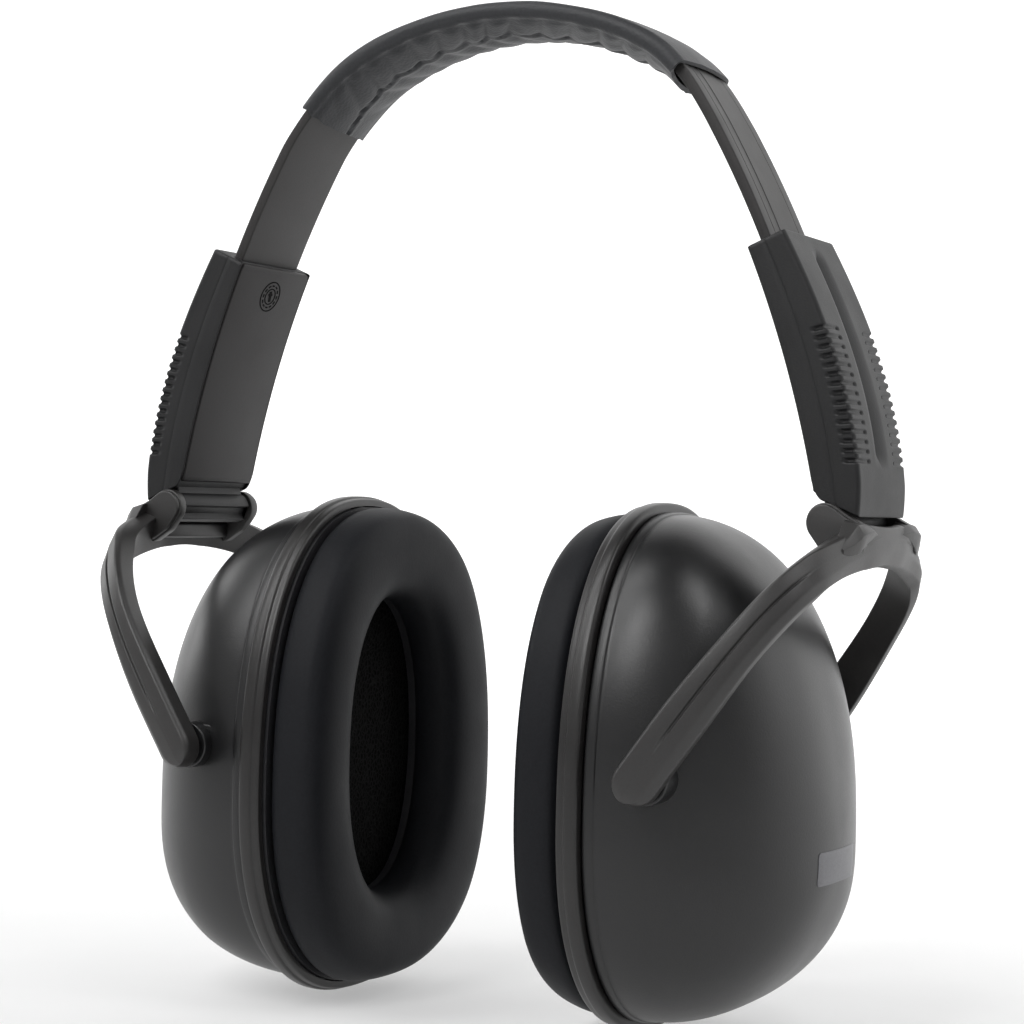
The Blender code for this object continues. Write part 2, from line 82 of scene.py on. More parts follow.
def make_piece(name, points, faces, look, body, nodes=(), sharp=38):
    """A smooth-shaded object from points in millimetres, riding on a body."""
    mesh = bpy.data.meshes.new(name)
    mesh.from_pydata([tuple(p) for p in world(points).reshape(-1, 3)], [], faces)
    face_outward(mesh)
    piece = bpy.data.objects.new(name, mesh)
    bpy.context.scene.collection.objects.link(piece)
    if look:
        mesh.materials.append(look)
    soften(piece, sharp)
    if body:
        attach(piece, body)
    if nodes:
        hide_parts(*nodes)
    return piece


def soften(piece, sharp=38):
    piece.data.shade_smooth()
    piece.data.set_sharp_from_angle(angle=math.radians(sharp))


def grid_faces(rows, cols, wrap_rows, caps):
    """Quads between rows of points, each row a closed ring, and flat caps on the end rows."""
    faces = []
    for r in range(rows if wrap_rows else rows - 1):
        for c in range(cols):
            up, across = (r + 1) % rows, (c + 1) % cols
            faces.append((r * cols + c, r * cols + across, up * cols + across, up * cols + c))
    if caps:
        faces.append(tuple(range(cols)))
        faces.append(tuple((rows - 1) * cols + c for c in range(cols)))
    return faces


def skin(name, rows, look, body, nodes=(), wrap_rows=False, sharp=38):
    """A piece lofted through closed rings of points, either capped at its ends or closed on itself."""
    rows = np.asarray(rows, dtype=float)
    faces = grid_faces(rows.shape[0], rows.shape[1], wrap_rows, not wrap_rows)
    return make_piece(name, rows.reshape(-1, 3), faces, look, body, nodes, sharp)


def carve(piece, tool, sharp):
    """Cut a tool out of a piece, and keep the result as the piece's mesh."""
    modifier = piece.modifiers.new("carve", "BOOLEAN")
    modifier.operation = "DIFFERENCE"
    modifier.object = tool
    graph = bpy.context.evaluated_depsgraph_get()
    result = bpy.data.meshes.new_from_object(piece.evaluated_get(graph))
    piece.modifiers.clear()
    piece.data = result
    bpy.data.objects.remove(tool, do_unlink=True)
    soften(piece, sharp)


def spread(start, end, steps):
    """Evenly spaced values from start to end, both included."""
    return np.linspace(start, end, steps + 1)


def smoothstep(low, high, value):
    """An easy rise from 0 at low to 1 at high, which may be the smaller of the two."""
    t = np.clip((value - low) / (high - low), 0.0, 1.0)
    return t * t * (3 - 2 * t)


def fillet(profile, radius, steps=4):
    """Round every corner of a closed polygon of 2-D points."""
    profile = [np.asarray(p, dtype=float) for p in profile]
    rounded = []
    for i, corner in enumerate(profile):
        before = profile[i - 1] - corner
        after = profile[(i + 1) % len(profile)] - corner
        reach = min(radius, 0.45 * np.linalg.norm(before), 0.45 * np.linalg.norm(after))
        start = corner + before / np.linalg.norm(before) * reach
        end = corner + after / np.linalg.norm(after) * reach
        for t in spread(0.0, 1.0, steps):
            rounded.append(start * (1 - t) ** 2 + corner * 2 * t * (1 - t) + end * t ** 2)
    return np.array(rounded)


def inset(loop, distance):
    """Move a closed 2-D loop inward."""
    following = np.roll(loop, -1, axis=0) - loop
    area = 0.5 * np.sum(loop[:, 0] * np.roll(loop[:, 1], -1) - np.roll(loop[:, 0], -1) * loop[:, 1])
    normal = np.stack([-following[:, 1], following[:, 0]], axis=1) * (1 if area > 0 else -1)
    normal /= np.maximum(np.linalg.norm(normal, axis=1, keepdims=True), 1e-9)
    blend = normal + np.roll(normal, 1, axis=0)
    blend /= np.maximum(np.linalg.norm(blend, axis=1, keepdims=True), 1e-9)
    return loop + blend * distance


def slab_rows(loop, side, y_low, y_high, soft, steps):
    """Rings of a slab whose outline is a smooth loop of (x, height) points, with softened edges."""
    rows = []
    for end, inward in ((y_low, 1), (y_high, -1)):
        turns = spread(0.0, math.pi / 2, steps)
        if inward < 0:
            turns = turns[::-1]
        for turn in turns:
            ring = inset(loop, soft * (1 - math.sin(turn)))
            y = end + inward * soft * (1 - math.cos(turn))
            rows.append([(side * x, y, z) for x, z in ring])
    return rows


def block_rows(profile, side, y_low, y_high, soft=0.35, corner=0.5):
    """Rings of a slab whose outline is a polygon with rounded corners."""
    return slab_rows(fillet(profile, corner), side, y_low, y_high, soft, 3)


def polar(centre, radius, degrees):
    """The point on a circle at an angle above the horizontal."""
    angle = np.radians(degrees)
    return np.stack([centre[0] + radius * np.cos(angle), centre[1] + radius * np.sin(angle)], axis=-1)


def catmull(points, steps):
    """A smooth open curve through points."""
    points = np.asarray(points, dtype=float)
    padded = np.concatenate([2 * points[:1] - points[1:2], points, 2 * points[-1:] - points[-2:-1]])
    curve = []
    for a, b, c, d in zip(padded, padded[1:], padded[2:], padded[3:]):
        for t in np.arange(steps) / steps:
            curve.append(0.5 * (2 * b + (c - a) * t + (2 * a - 5 * b + 4 * c - d) * t ** 2
                                + (3 * b - a - 3 * c + d) * t ** 3))
    curve.append(points[-1])
    return np.array(curve)


def wobble(x, y, z, seed=0.0):
    """Smooth repeatable noise, about -1 to 1."""
    return noise.noise(Vector((x + seed * 17.3, y - seed * 9.1, z + seed * 5.7)))


# ---------------------------------------------------------------- materials

def fill(made, **values):
    """Set a shader node's sockets or settings by name."""
    for key, value in values.items():
        if key in made.inputs:
            made.inputs[key].default_value = value
        else:
            setattr(made, key, value)
    return made


def node(tree, kind, **values):
    return fill(tree.nodes.new(kind), **values)


def wire(source, output, target, socket):
    source.id_data.links.new(source.outputs[output], target.inputs[socket])


def two_tones(tree, low, low_tone, high, high_tone):
    """A ramp from one tone to another."""
    ramp = node(tree, "ShaderNodeValToRGB")
    for stop, place, tone in zip(ramp.color_ramp.elements, (low, high), (low_tone, high_tone)):
        stop.position = place
        stop.color = (*tone, 1.0)
    return ramp


def new_look(name):
    """A material with its node tree, its shader and the object's own coordinates."""
    material = bpy.data.materials.new(name)
    material.use_nodes = True
    tree = material.node_tree
    return material, tree, tree.nodes["Principled BSDF"], node(tree, "ShaderNodeTexCoord")


PATCH_SCALE = 60.0
SPECKLE_SHARE = 0.35
PORE_DEPTH_SHARE = 2.5


def grain_look(name, light, dark, rough=(0.4, 0.5), grain=2600.0, bump=0.25, depth=0.00006,
               sheen=0.0, specular=0.5, pores=0.0, pore_scale=900.0):
    """A moulded or soft surface: two tones in slow patches, fine grain as bump, uneven gloss, and pores."""
    material, tree, shader, place = new_look(name)
    patches = node(tree, "ShaderNodeTexNoise", Scale=PATCH_SCALE, Detail=4.0, Roughness=0.6)
    fine = node(tree, "ShaderNodeTexNoise", Scale=grain, Detail=3.0, Roughness=0.65)
    for texture in (patches, fine):
        wire(place, "Object", texture, "Vector")
    tones = two_tones(tree, 0.35, dark, 0.65, light)
    wire(patches, "Fac", tones, "Fac")
    speckle = node(tree, "ShaderNodeMix", data_type="RGBA", blend_type="MULTIPLY")
    speckle.inputs["Factor"].default_value = SPECKLE_SHARE
    wire(tones, "Color", speckle, "A")
    spots = two_tones(tree, 0.3, (0.55, 0.55, 0.55), 0.7, (1.45, 1.45, 1.45))
    wire(fine, "Fac", spots, "Fac")
    wire(spots, "Color", speckle, "B")
    wire(speckle, "Result", shader, "Base Color")
    gloss = node(tree, "ShaderNodeMapRange",
                 **{"From Min": 0.3, "From Max": 0.7, "To Min": rough[0], "To Max": rough[1]})
    wire(patches, "Fac", gloss, "Value")
    wire(gloss, "Result", shader, "Roughness")
    raised = node(tree, "ShaderNodeBump", Strength=bump, Distance=depth)
    wire(fine, "Fac", raised, "Height")
    last = raised
    if pores:
        cells = node(tree, "ShaderNodeTexVoronoi", Scale=pore_scale)
        wire(place, "Object", cells, "Vector")
        pitted = node(tree, "ShaderNodeBump", Strength=pores, Distance=depth * PORE_DEPTH_SHARE)
        wire(cells, "Distance", pitted, "Height")
        wire(raised, "Normal", pitted, "Normal")
        last = pitted
    wire(last, "Normal", shader, "Normal")
    fill(shader, **{"Specular IOR Level": specular, "Sheen Weight": sheen, "Sheen Roughness": 0.5})
    return material


FOAM_RELIEF = 0.0006
FOAM_CLUMP_SHARE = 0.35


def foam_look(name, light, dark, scale=700.0):
    """Open-cell foam: the hollow cells painted darker than the slightly lighter struts, as painted shade in
    the pores.
    """
    material, tree, shader, place = new_look(name)
    cells = node(tree, "ShaderNodeTexVoronoi", Scale=scale, feature="DISTANCE_TO_EDGE")
    clumps = node(tree, "ShaderNodeTexNoise", Scale=scale * FOAM_CLUMP_SHARE, Detail=5.0, Roughness=0.7)
    for texture in (cells, clumps):
        wire(place, "Object", texture, "Vector")
    # The ramp paints the middle of each cell dark: painted shade in the hollows between the struts.
    ramp = two_tones(tree, 0.02, light, 0.2, dark)
    wire(cells, "Distance", ramp, "Fac")
    wire(ramp, "Color", shader, "Base Color")
    first = node(tree, "ShaderNodeBump", Strength=1.0, Distance=FOAM_RELIEF, invert=True)
    wire(cells, "Distance", first, "Height")
    second = node(tree, "ShaderNodeBump", Strength=0.8, Distance=FOAM_RELIEF)
    wire(clumps, "Fac", second, "Height")
    wire(first, "Normal", second, "Normal")
    wire(second, "Normal", shader, "Normal")
    fill(shader, **{"Roughness": 0.95, "Specular IOR Level": 0.1})
    return material


STEEL = (0.5, 0.5, 0.51)


def steel_look(name):
    """Drawn steel with fine scratches along one way."""
    material, tree, shader, place = new_look(name)
    stretch = node(tree, "ShaderNodeMapping", Scale=(1.0, 0.06, 1.0))
    scratches = node(tree, "ShaderNodeTexNoise", Scale=4000.0, Detail=3.0)
    wire(place, "Object", stretch, "Vector")
    wire(stretch, "Vector", scratches, "Vector")
    shade = node(tree, "ShaderNodeMapRange", **{"To Min": 0.25, "To Max": 0.45})
    wire(scratches, "Fac", shade, "Value")
    wire(shade, "Result", shader, "Roughness")
    tint = two_tones(tree, 0.0, [c * 0.8 for c in STEEL], 1.0, STEEL)
    wire(scratches, "Fac", tint, "Fac")
    wire(tint, "Color", shader, "Base Color")
    fill(shader, Metallic=1.0)
    return material


LOOKS = {
    "band": grain_look("band_plastic", (0.0238, 0.0221, 0.02167), (0.01955, 0.01785, 0.01785), (0.42, 0.52),
                       bump=0.2, specular=0.4),
    "sleeve": grain_look("sleeve_leatherette", (0.0215, 0.0225, 0.0255), (0.0172, 0.0184, 0.0212), (0.5, 0.6),
                         grain=1500.0, bump=0.3, depth=0.00008, pores=0.25, pore_scale=1400.0, sheen=0.06),
    "pad": foam_look("crown_foam", (0.010, 0.010, 0.011), (0.004, 0.004, 0.004)),
    "housing": grain_look("housing_plastic", (0.0095, 0.0095, 0.0103), (0.0073, 0.0073, 0.008), (0.45, 0.55),
                          grain=2200.0, bump=0.45, depth=0.00008, specular=0.4),
    "cover": grain_look("cover_plastic", (0.0168, 0.0150, 0.0152), (0.014, 0.0126, 0.013), bump=0.2,
                        specular=0.3),
    "yoke": grain_look("yoke_plastic", (0.0205, 0.0193, 0.0188), (0.0168, 0.0157, 0.0157), (0.38, 0.48),
                       bump=0.35, grain=2400.0, specular=0.65),
    "shell": grain_look("shell_plastic", (0.0066, 0.0066, 0.0072), (0.0050, 0.0050, 0.0056), (0.31, 0.38),
                        bump=0.35, grain=2400.0, depth=0.00007, specular=0.56),
    "rim": grain_look("rim_plastic", (0.0153, 0.01445, 0.01403), (0.01275, 0.0119, 0.0119), (0.3, 0.38),
                      bump=0.12),
    "plate": grain_look("plate_plastic", (0.024, 0.024, 0.026), (0.018, 0.018, 0.020), (0.35, 0.45),
                        bump=0.2),
    "cushion": grain_look("cushion_skin", (0.0095, 0.0101, 0.0122), (0.0080, 0.0086, 0.0106), (0.5, 0.6),
                          grain=1800.0, bump=0.12, depth=0.00005, pores=0.08, pore_scale=1600.0,
                          specular=0.16),
    "liner": foam_look("acoustic_foam", (0.008, 0.008, 0.008), (0.0015, 0.0015, 0.0015), scale=900.0),
    "spring": steel_look("spring_steel"),
    "pin": steel_look("pin_steel"),
    # The stamp's ticks are near-black: painted shade standing in for the shadow in the moulded relief.
    "stamp": grain_look("stamp_painted_shade", (0.002, 0.002, 0.002), (0.0015, 0.0015, 0.0015), (0.7, 0.8),
                        specular=0.1),
    "label": grain_look("blank_label", (0.13, 0.13, 0.14), (0.10, 0.10, 0.11), (0.35, 0.45), bump=0.1),
}


# ---------------------------------------------------------------- headband

BAND_HALF_THICKNESS = 1.1
BAND_HALF_WIDTH = 10.7
SLIDE_RADIUS = 230.0
SLIDER_TOP_ANGLE = 23.5
SLIDE_CENTRE = polar((60.0, 154.6), -SLIDE_RADIUS, SLIDER_TOP_ANGLE)
SHOULDER_RADIUS = 30.0
SHOULDER_END = 31.3
SHOULDER_CENTRE = polar(SLIDE_CENTRE, SLIDE_RADIUS - SHOULDER_RADIUS, SHOULDER_END)
CROWN_TOP = 201.4
CROWN_DROP = SHOULDER_CENTRE[1] - CROWN_TOP
CROWN_RADIUS = (SHOULDER_RADIUS ** 2 - CROWN_DROP ** 2 - SHOULDER_CENTRE[0] ** 2) / (
    2 * (CROWN_DROP + SHOULDER_RADIUS))
CROWN_CENTRE = np.array([0.0, CROWN_TOP - CROWN_RADIUS])
CROWN_END = math.degrees(math.atan2(SHOULDER_CENTRE[1] - CROWN_CENTRE[1], SHOULDER_CENTRE[0]))
CROWN_LENGTH = CROWN_RADIUS * math.radians(90 - CROWN_END)
SHOULDER_LENGTH = SHOULDER_RADIUS * math.radians(CROWN_END - SHOULDER_END)
BAND_HIDDEN = 18.5
BAND_END_GAP = 2.2
HALF_BAND = (CROWN_LENGTH + SHOULDER_LENGTH + SLIDE_RADIUS * math.radians(SHOULDER_END - SLIDER_TOP_ANGLE)
             + BAND_HIDDEN)

# How far the sprung band stands off its even shape: to the right, up at the crown and in at its bends.
# Up to SLIDE_REACH it keeps to its arc, because the housings slide that high.
LEAN = 1.1
RISE = 0.8
PINCH = 0.7
SLIDE_REACH = 177.0


def band_point(distance, offset):
    """The (x, height) point at a distance along the band from the crown, offset outward."""
    side = -1 if distance < 0 else 1
    run = abs(distance)
    if run <= CROWN_LENGTH:
        x, height = polar(CROWN_CENTRE, CROWN_RADIUS + offset, 90 - math.degrees(run / CROWN_RADIUS))
    elif run <= CROWN_LENGTH + SHOULDER_LENGTH:
        turn = math.degrees((run - CROWN_LENGTH) / SHOULDER_RADIUS)
        x, height = polar(SHOULDER_CENTRE, SHOULDER_RADIUS + offset, CROWN_END - turn)
    else:
        turn = math.degrees((run - CROWN_LENGTH - SHOULDER_LENGTH) / SLIDE_RADIUS)
        x, height = polar(SLIDE_CENTRE, SLIDE_RADIUS + offset, SHOULDER_END - turn)
    spring = float(smoothstep(SLIDE_REACH - 1.0, 194.0, height))
    bend = float(smoothstep(SLIDE_REACH, 187.0, height) * (1 - smoothstep(189.0, 200.0, height)))
    rise = float(smoothstep(184.0, 199.0, height))
    return side * (x - PINCH * bend) + LEAN * spring, height + RISE * rise


def band_row(distance, section):
    """A ring of (y, offset) points placed across the band."""
    row = []
    for y, offset in section:
        x, height = band_point(distance, offset)
        row.append((x, y, height))
    return row


def make_band():
    """The moulded strip, with softened edges and two pairs of low lines along its outer face."""
    half, wide = BAND_HALF_THICKNESS, BAND_HALF_WIDTH
    outer = [(wide, half), (7.3, half), (7.15, half - 0.12), (7.0, half + 0.02), (4.0, half + 0.02),
             (3.85, half + 0.14), (-3.85, half + 0.14), (-4.0, half + 0.02), (-7.0, half + 0.02),
             (-7.15, half - 0.12), (-7.3, half), (-wide, half)]
    corners = fillet([(-wide, -half), (wide, -half), (wide, half), (-wide, half)], 0.35, 3)
    section = [tuple(p) for p in corners[:12]] + outer[1:-1] + [tuple(p) for p in corners[12:]]
    distances = spread(-HALF_BAND + BAND_END_GAP, HALF_BAND - BAND_END_GAP, 190)
    rows = [band_row(distance, section) for distance in distances]
    skin("headband_strip", rows, LOOKS["band"], "headband", ["headband_band"])


SLEEVE_LEFT = 50.0
SLEEVE_RIGHT = 44.0
SLEEVE_WALL = 0.7


def sleeve_outline(shrink=0.0):
    """Closed outline of the sleeve: thin at its edges, thick in the middle of its underside."""
    wide, edge = 12.75 - shrink, 1.75 - shrink
    loop = []
    for y in spread(-wide + edge, wide - edge, 34):
        share = y / (wide - edge)
        loop.append((y, -edge - (2.15 - 0.2 * shrink) * math.cos(share * math.pi / 2) ** 0.8))
    loop += [tuple(polar((wide - edge, 0.0), edge, turn)) for turn in spread(-80, 80, 8)]
    for y in spread(wide - edge, -wide + edge, 22):
        share = y / (wide - edge)
        loop.append((y, edge + 0.5 * (1 - share ** 2)))
    loop += [tuple(polar((edge - wide, 0.0), edge, turn)) for turn in spread(100, 260, 8)]
    return loop


def seam_place(distance):
    """How far back the wandering seam on the underside runs."""
    drift = np.interp(distance, (-50, -33, -14, 2, 10, 25, 44), (1.4, -2.1, -3.5, -5.0, -2.6, -1.5, -1.0))
    return drift + 0.5 * wobble(distance * 0.15, 3.1, 0.0)


def sleeve_fold(distance, y):
    """Depth of the gathers across the underside and of the seam along its middle."""
    seam = seam_place(distance)
    reach = 1 - smoothstep(9.5, 12.2, abs(y))
    slant = distance + (y - seam) * (0.55 if y < seam else -0.25)
    slant += 1.6 * wobble(distance * 0.09, y * 0.12, 1.7)
    ridge = abs(math.sin(slant * math.pi / 6.3))
    size = 0.95 + 0.5 * wobble(distance * 0.05, y * 0.1, 8.0)
    near = 1.0 if y < seam else 0.6
    fade = 1 - smoothstep(34, 46, abs(distance + 3))
    gathers = (ridge ** 1.2 - 0.56) * 0.85 * size * near * fade * reach
    groove = math.exp(-((y - seam) / 0.27) ** 2) * (0.3 + 0.75 * smoothstep(30, 49, -distance))
    lip = math.exp(-((y - seam - 1.0) / 0.6) ** 2) * 0.22
    return -1.0 * gathers + groove - lip


def make_sleeve():
    """The thin tube round the crown: gathered outside, plain inside, with drawn-in ends."""
    outline, lining = sleeve_outline(), sleeve_outline(SLEEVE_WALL)
    outer = []
    for distance in spread(-SLEEVE_LEFT, SLEEVE_RIGHT, 188):
        row = []
        for y, offset in outline:
            under = smoothstep(0.6, 2.0, -offset)
            lift = sleeve_fold(distance, y) * under if under > 0 else 0.0
            soft = 0.12 * wobble(distance * 0.11, y * 0.25, offset, 2.0)
            ragged = 0.5 * wobble(y * 0.2, offset, 4.0) * smoothstep(40, 50, abs(distance))
            skew = -0.09 * y * smoothstep(38, 50, -distance)
            row.append((distance + ragged + skew, y, offset + lift + soft))
        outer.append(row)
    start, end = outer[0], outer[-1]

    def ring(row, share):
        return [(a[0], a[1] * (1 - share) + b[0] * share, a[2] * (1 - share) + b[1] * share)
                for a, b in zip(row, lining)]

    inner = [ring(end, 0.5), ring(end, 1.0)]
    for step in spread(0.06, 0.94, 24):
        distance = SLEEVE_RIGHT + (-SLEEVE_LEFT - SLEEVE_RIGHT) * step
        inner.append([(distance, y, offset) for y, offset in lining])
    inner += [ring(start, 1.0), ring(start, 0.5)]
    rows = []
    for ring_points in outer + inner:
        row = []
        for distance, y, offset in ring_points:
            x, height = band_point(distance, offset)
            row.append((x, y, height))
        rows.append(row)
    piece = skin("crown_sleeve", rows, LOOKS["sleeve"], "headband", ["headband_sleeve"], wrap_rows=True,
                 sharp=60)


def make_crown_foam():
    """Thin foam strip under the band, rounded and slightly uneven, seen only at the sleeve's ends."""
    rows = []
    for distance in spread(3.0 - SLEEVE_LEFT, SLEEVE_RIGHT - 3.0, 60):
        row = []
        for turn in spread(0, 350, 35):
            c, s = math.cos(math.radians(turn)), math.sin(math.radians(turn))
            y = 7.9 * math.copysign(abs(c) ** 0.5, c)
            offset = -2.0 + 0.55 * math.copysign(abs(s) ** 0.7, s) + 0.05 * wobble(distance * 0.4, y * 0.4, s)
            row.append((y, offset))
        rows.append(band_row(distance, row))
    piece = skin("crown_foam_strip", rows, LOOKS["pad"], "headband", ["headband_foam"], sharp=80)


# ---------------------------------------------------------------- slider

HINGE = np.array([74.5, 100.9])
HOUSING_HALF_WIDTH = 13.6
HOUSING_TOP = 23.3
FOOT_CORNER = np.array([80.7, 102.3])
FOOT_INNER = np.array([72.8, 105.5])
BULGE_ANGLES = (10.2, 12.5, 15.0, 18.0, 20.5, 23.3)
BULGE_RISES = (5.8, 6.7, 7.1, 6.7, 5.9, 4.9)
TEETH = 15
TEETH_TOP = 18.4
TEETH_END = 12.1
TOOTH_PITCH = (TEETH_TOP - TEETH_END) / (TEETH - 1)
EDGE_DROP = 0.9
COVER_INNER = -3.3
BARREL_RADIUS = 3.25


def housing_stations():
    """Shares along the housing's length: coarse, but fine where the grip teeth are."""
    teeth_high = (HOUSING_TOP - TEETH_TOP - TOOTH_PITCH) / (HOUSING_TOP - BULGE_ANGLES[0])
    teeth_low = (HOUSING_TOP - TEETH_END + TOOTH_PITCH) / (HOUSING_TOP - BULGE_ANGLES[0])
    return np.concatenate([spread(0.0, teeth_high, 30)[:-1], spread(teeth_high, teeth_low, 200)[:-1],
                           spread(teeth_low, 1.0, 16)])


def housing_section():
    """Half of the cross-section, from the middle of the inner face round to the middle of the outer face.

    Each point is (y, share of the thickness, rise above it), and the outer corner is rounded.
    """
    wide, soft = HOUSING_HALF_WIDTH, EDGE_DROP
    points = [(0.0, 0.0, 0.85), (6.0, 0.0, 0.85), (13.2, 0.0, 0.85), (13.24, 0.0, 0.0),
              (wide - 0.2, 0.0, -0.02), (wide - 0.06, 0.0, 0.06), (wide, 0.0, 0.22)]
    points += [(wide, share, 0.0) for share in (0.15, 0.3, 0.44)]
    points += [(wide - 0.07, 0.455, 0.0), (wide, 0.47, 0.0), (wide, 0.52, 0.0)]
    points += [(wide, 1.0, -soft - drop) for drop in spread(2.8, 0.0, 13)]
    for turn in spread(0, 90, 7)[1:]:
        c, s = math.cos(math.radians(turn)), math.sin(math.radians(turn))
        points.append((wide - soft + soft * c, 1.0, -soft + soft * s))
    points += [(y, 1.0, 0.0) for y in spread(wide - soft - 0.3, 0.0, 40)]
    return points


def grip_depth(angle, y, drop):
    """Depth of the grip notches at an angle along the housing, a place across it and a drop below it."""
    if angle > TEETH_TOP + TOOTH_PITCH or angle < TEETH_END - TOOTH_PITCH:
        return 0.0
    phase = (TEETH_TOP - angle) / TOOTH_PITCH
    near = abs(phase - round(min(max(phase, 0), TEETH - 1)))
    notch = max(0.0, 1 - (near / 0.3) ** 2)
    if drop > EDGE_DROP:
        along = 1 - smoothstep(2.0, 3.4, drop)
    else:
        along = 1 - 0.55 * smoothstep(0.0, 5.6, HOUSING_HALF_WIDTH - y)
        along *= 1 - smoothstep(6.0, 6.5, HOUSING_HALF_WIDTH - y)
    pit = max(0.0, 1 - (near / 0.22) ** 2) * max(0.0, 1 - ((HOUSING_HALF_WIDTH - 6.4 - y) / 0.55) ** 2)
    return 0.62 * notch * along + 0.55 * pit


def scoop_depth(angle, y):
    """Depth of the long finger groove along the outer face."""
    half_width = 3.4 + 0.6 * (22.0 - angle) / 10.0
    ends = smoothstep(22.7, 21.9, angle) * smoothstep(11.7, 12.6, angle)
    reach = max(0.0, 1 - abs(y) / half_width)
    return 1.15 * reach ** 1.7 * ends


def make_housing(side, label):
    """The outer shell with grips and finger groove, its hinge barrel and the neck between them."""
    stations = housing_stations()
    bend = np.polyfit(BULGE_ANGLES, BULGE_RISES, 3)
    half = housing_section()
    section = half + [(-y, share, rise) for y, share, rise in half[-2:0:-1]]
    rows = []
    for t in stations:
        outer_angle = HOUSING_TOP + (BULGE_ANGLES[0] - HOUSING_TOP) * t
        outer = polar(SLIDE_CENTRE, SLIDE_RADIUS + np.polyval(bend, outer_angle), outer_angle)
        outer = outer + (FOOT_CORNER - outer) * smoothstep(0.93, 1.0, t)
        inner_angle = HOUSING_TOP + (11.2 - HOUSING_TOP) * min(1.0, t / 0.97)
        inner = polar(SLIDE_CENTRE, SLIDE_RADIUS - 3.1, inner_angle)
        inner = inner + (FOOT_INNER - inner) * smoothstep(0.93, 1.0, t)
        across = (outer - inner) / np.linalg.norm(outer - inner)
        thickness = np.linalg.norm(outer - inner)
        row = []
        for y, share, rise in section:
            depth, push_y = 0.0, 0.0
            if share == 1.0:
                drop = -rise
                grip = grip_depth(outer_angle, abs(y), drop)
                if drop > 0.2:
                    push_y = grip * min(1.0, drop / EDGE_DROP)
                    depth = grip * max(0.0, 1 - drop / EDGE_DROP)
                else:
                    depth = max(grip, scoop_depth(outer_angle, y))
            place = inner + across * (thickness * share + rise - depth)
            row.append((place[0], y - math.copysign(push_y, y), place[1]))
        rows.append(row)
    rows = np.array(rows)

    def end_ring(row, toward, amount, reach):
        """A copy of an end row, drawn in towards its middle and moved along the housing, for a soft edge."""
        middle = row.mean(axis=0)
        away = row - middle
        scale = 1 - amount / np.array([8.0, HOUSING_HALF_WIDTH, 8.0])
        return middle + away * scale + toward * reach

    top_way = (rows[0] - rows[3]).mean(axis=0)
    top_way /= np.linalg.norm(top_way)
    foot_way = (rows[-1] - rows[-3]).mean(axis=0)
    foot_way /= np.linalg.norm(foot_way)
    top = [end_ring(rows[0], top_way, 0.45, 0.3), end_ring(rows[0], top_way, 0.15, 0.18)]
    foot = [end_ring(rows[-1], foot_way, 0.15, 0.15), end_ring(rows[-1], foot_way, 0.45, 0.28)]
    rows = np.concatenate([top, rows, foot])
    rows[..., 0] *= side
    body = label + "_slider"
    housing = skin(label + "_housing_body", rows, LOOKS["housing"], None, sharp=42)

    slot = []
    for offset, angles in ((-1.5, spread(21.9, 24.6, 8)), (1.5, spread(24.6, 21.9, 8))):
        slot += [tuple(polar(SLIDE_CENTRE, SLIDE_RADIUS + offset, angle)) for angle in angles]
    mouth = skin(label + "_mouth", [[(side * x, y, z) for x, z in slot] for y in (-10.8, 10.8)], None, None)
    carve(housing, mouth, sharp=42)
    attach(housing, body)
    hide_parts(label + "_slider_housing")

    barrel = []
    for turn in spread(-130, 228, 60)[:-1]:
        radius = 2.0 if turn > 176 else BARREL_RADIUS
        barrel.append(tuple(polar(HINGE, radius, turn)))
    rows = block_rows(barrel, side, -12.15, 12.15, corner=0.25)
    skin(label + "_hinge_barrel", rows, LOOKS["housing"], body, sharp=35)
    neck = [(72.7, 102.2), (77.0, 101.5), (79.4, 104.6), (78.0, 107.0), (73.9, 107.4), (73.6, 105.2)]
    rows = block_rows(neck, side, -12.0, 12.0, soft=0.4, corner=0.9)
    skin(label + "_hinge_neck", rows, LOOKS["housing"], body, sharp=35)


def make_cover(side, label):
    """Curved inner plate set into the housing, with softened edges and clipped top corners."""
    wide = 12.9
    rows = []
    angles = np.concatenate([[HOUSING_TOP + 0.02, HOUSING_TOP - 0.02], spread(HOUSING_TOP - 0.08, 11.15, 60),
                             [11.1, 11.05]])
    for number, angle in enumerate(angles):
        edge = min(number, len(angles) - 1 - number)
        pull = (0.3, 0.1, 0.0)[min(edge, 2)]
        top_clip = 0.4 * max(0.0, 1 - (HOUSING_TOP - angle) / 0.3)
        half = wide - pull - top_clip
        face = COVER_INNER + pull
        section = fillet([(-half, face), (half, face), (half, -2.4), (-half, -2.4)], 0.3, 3)
        row = []
        for y, offset in section:
            x, height = polar(SLIDE_CENTRE, SLIDE_RADIUS + offset, angle)
            row.append((side * x, y, height))
        rows.append(row)
    skin(label + "_inner_plate", rows, LOOKS["cover"], label + "_slider", [label + "_slider_cover"], sharp=42)


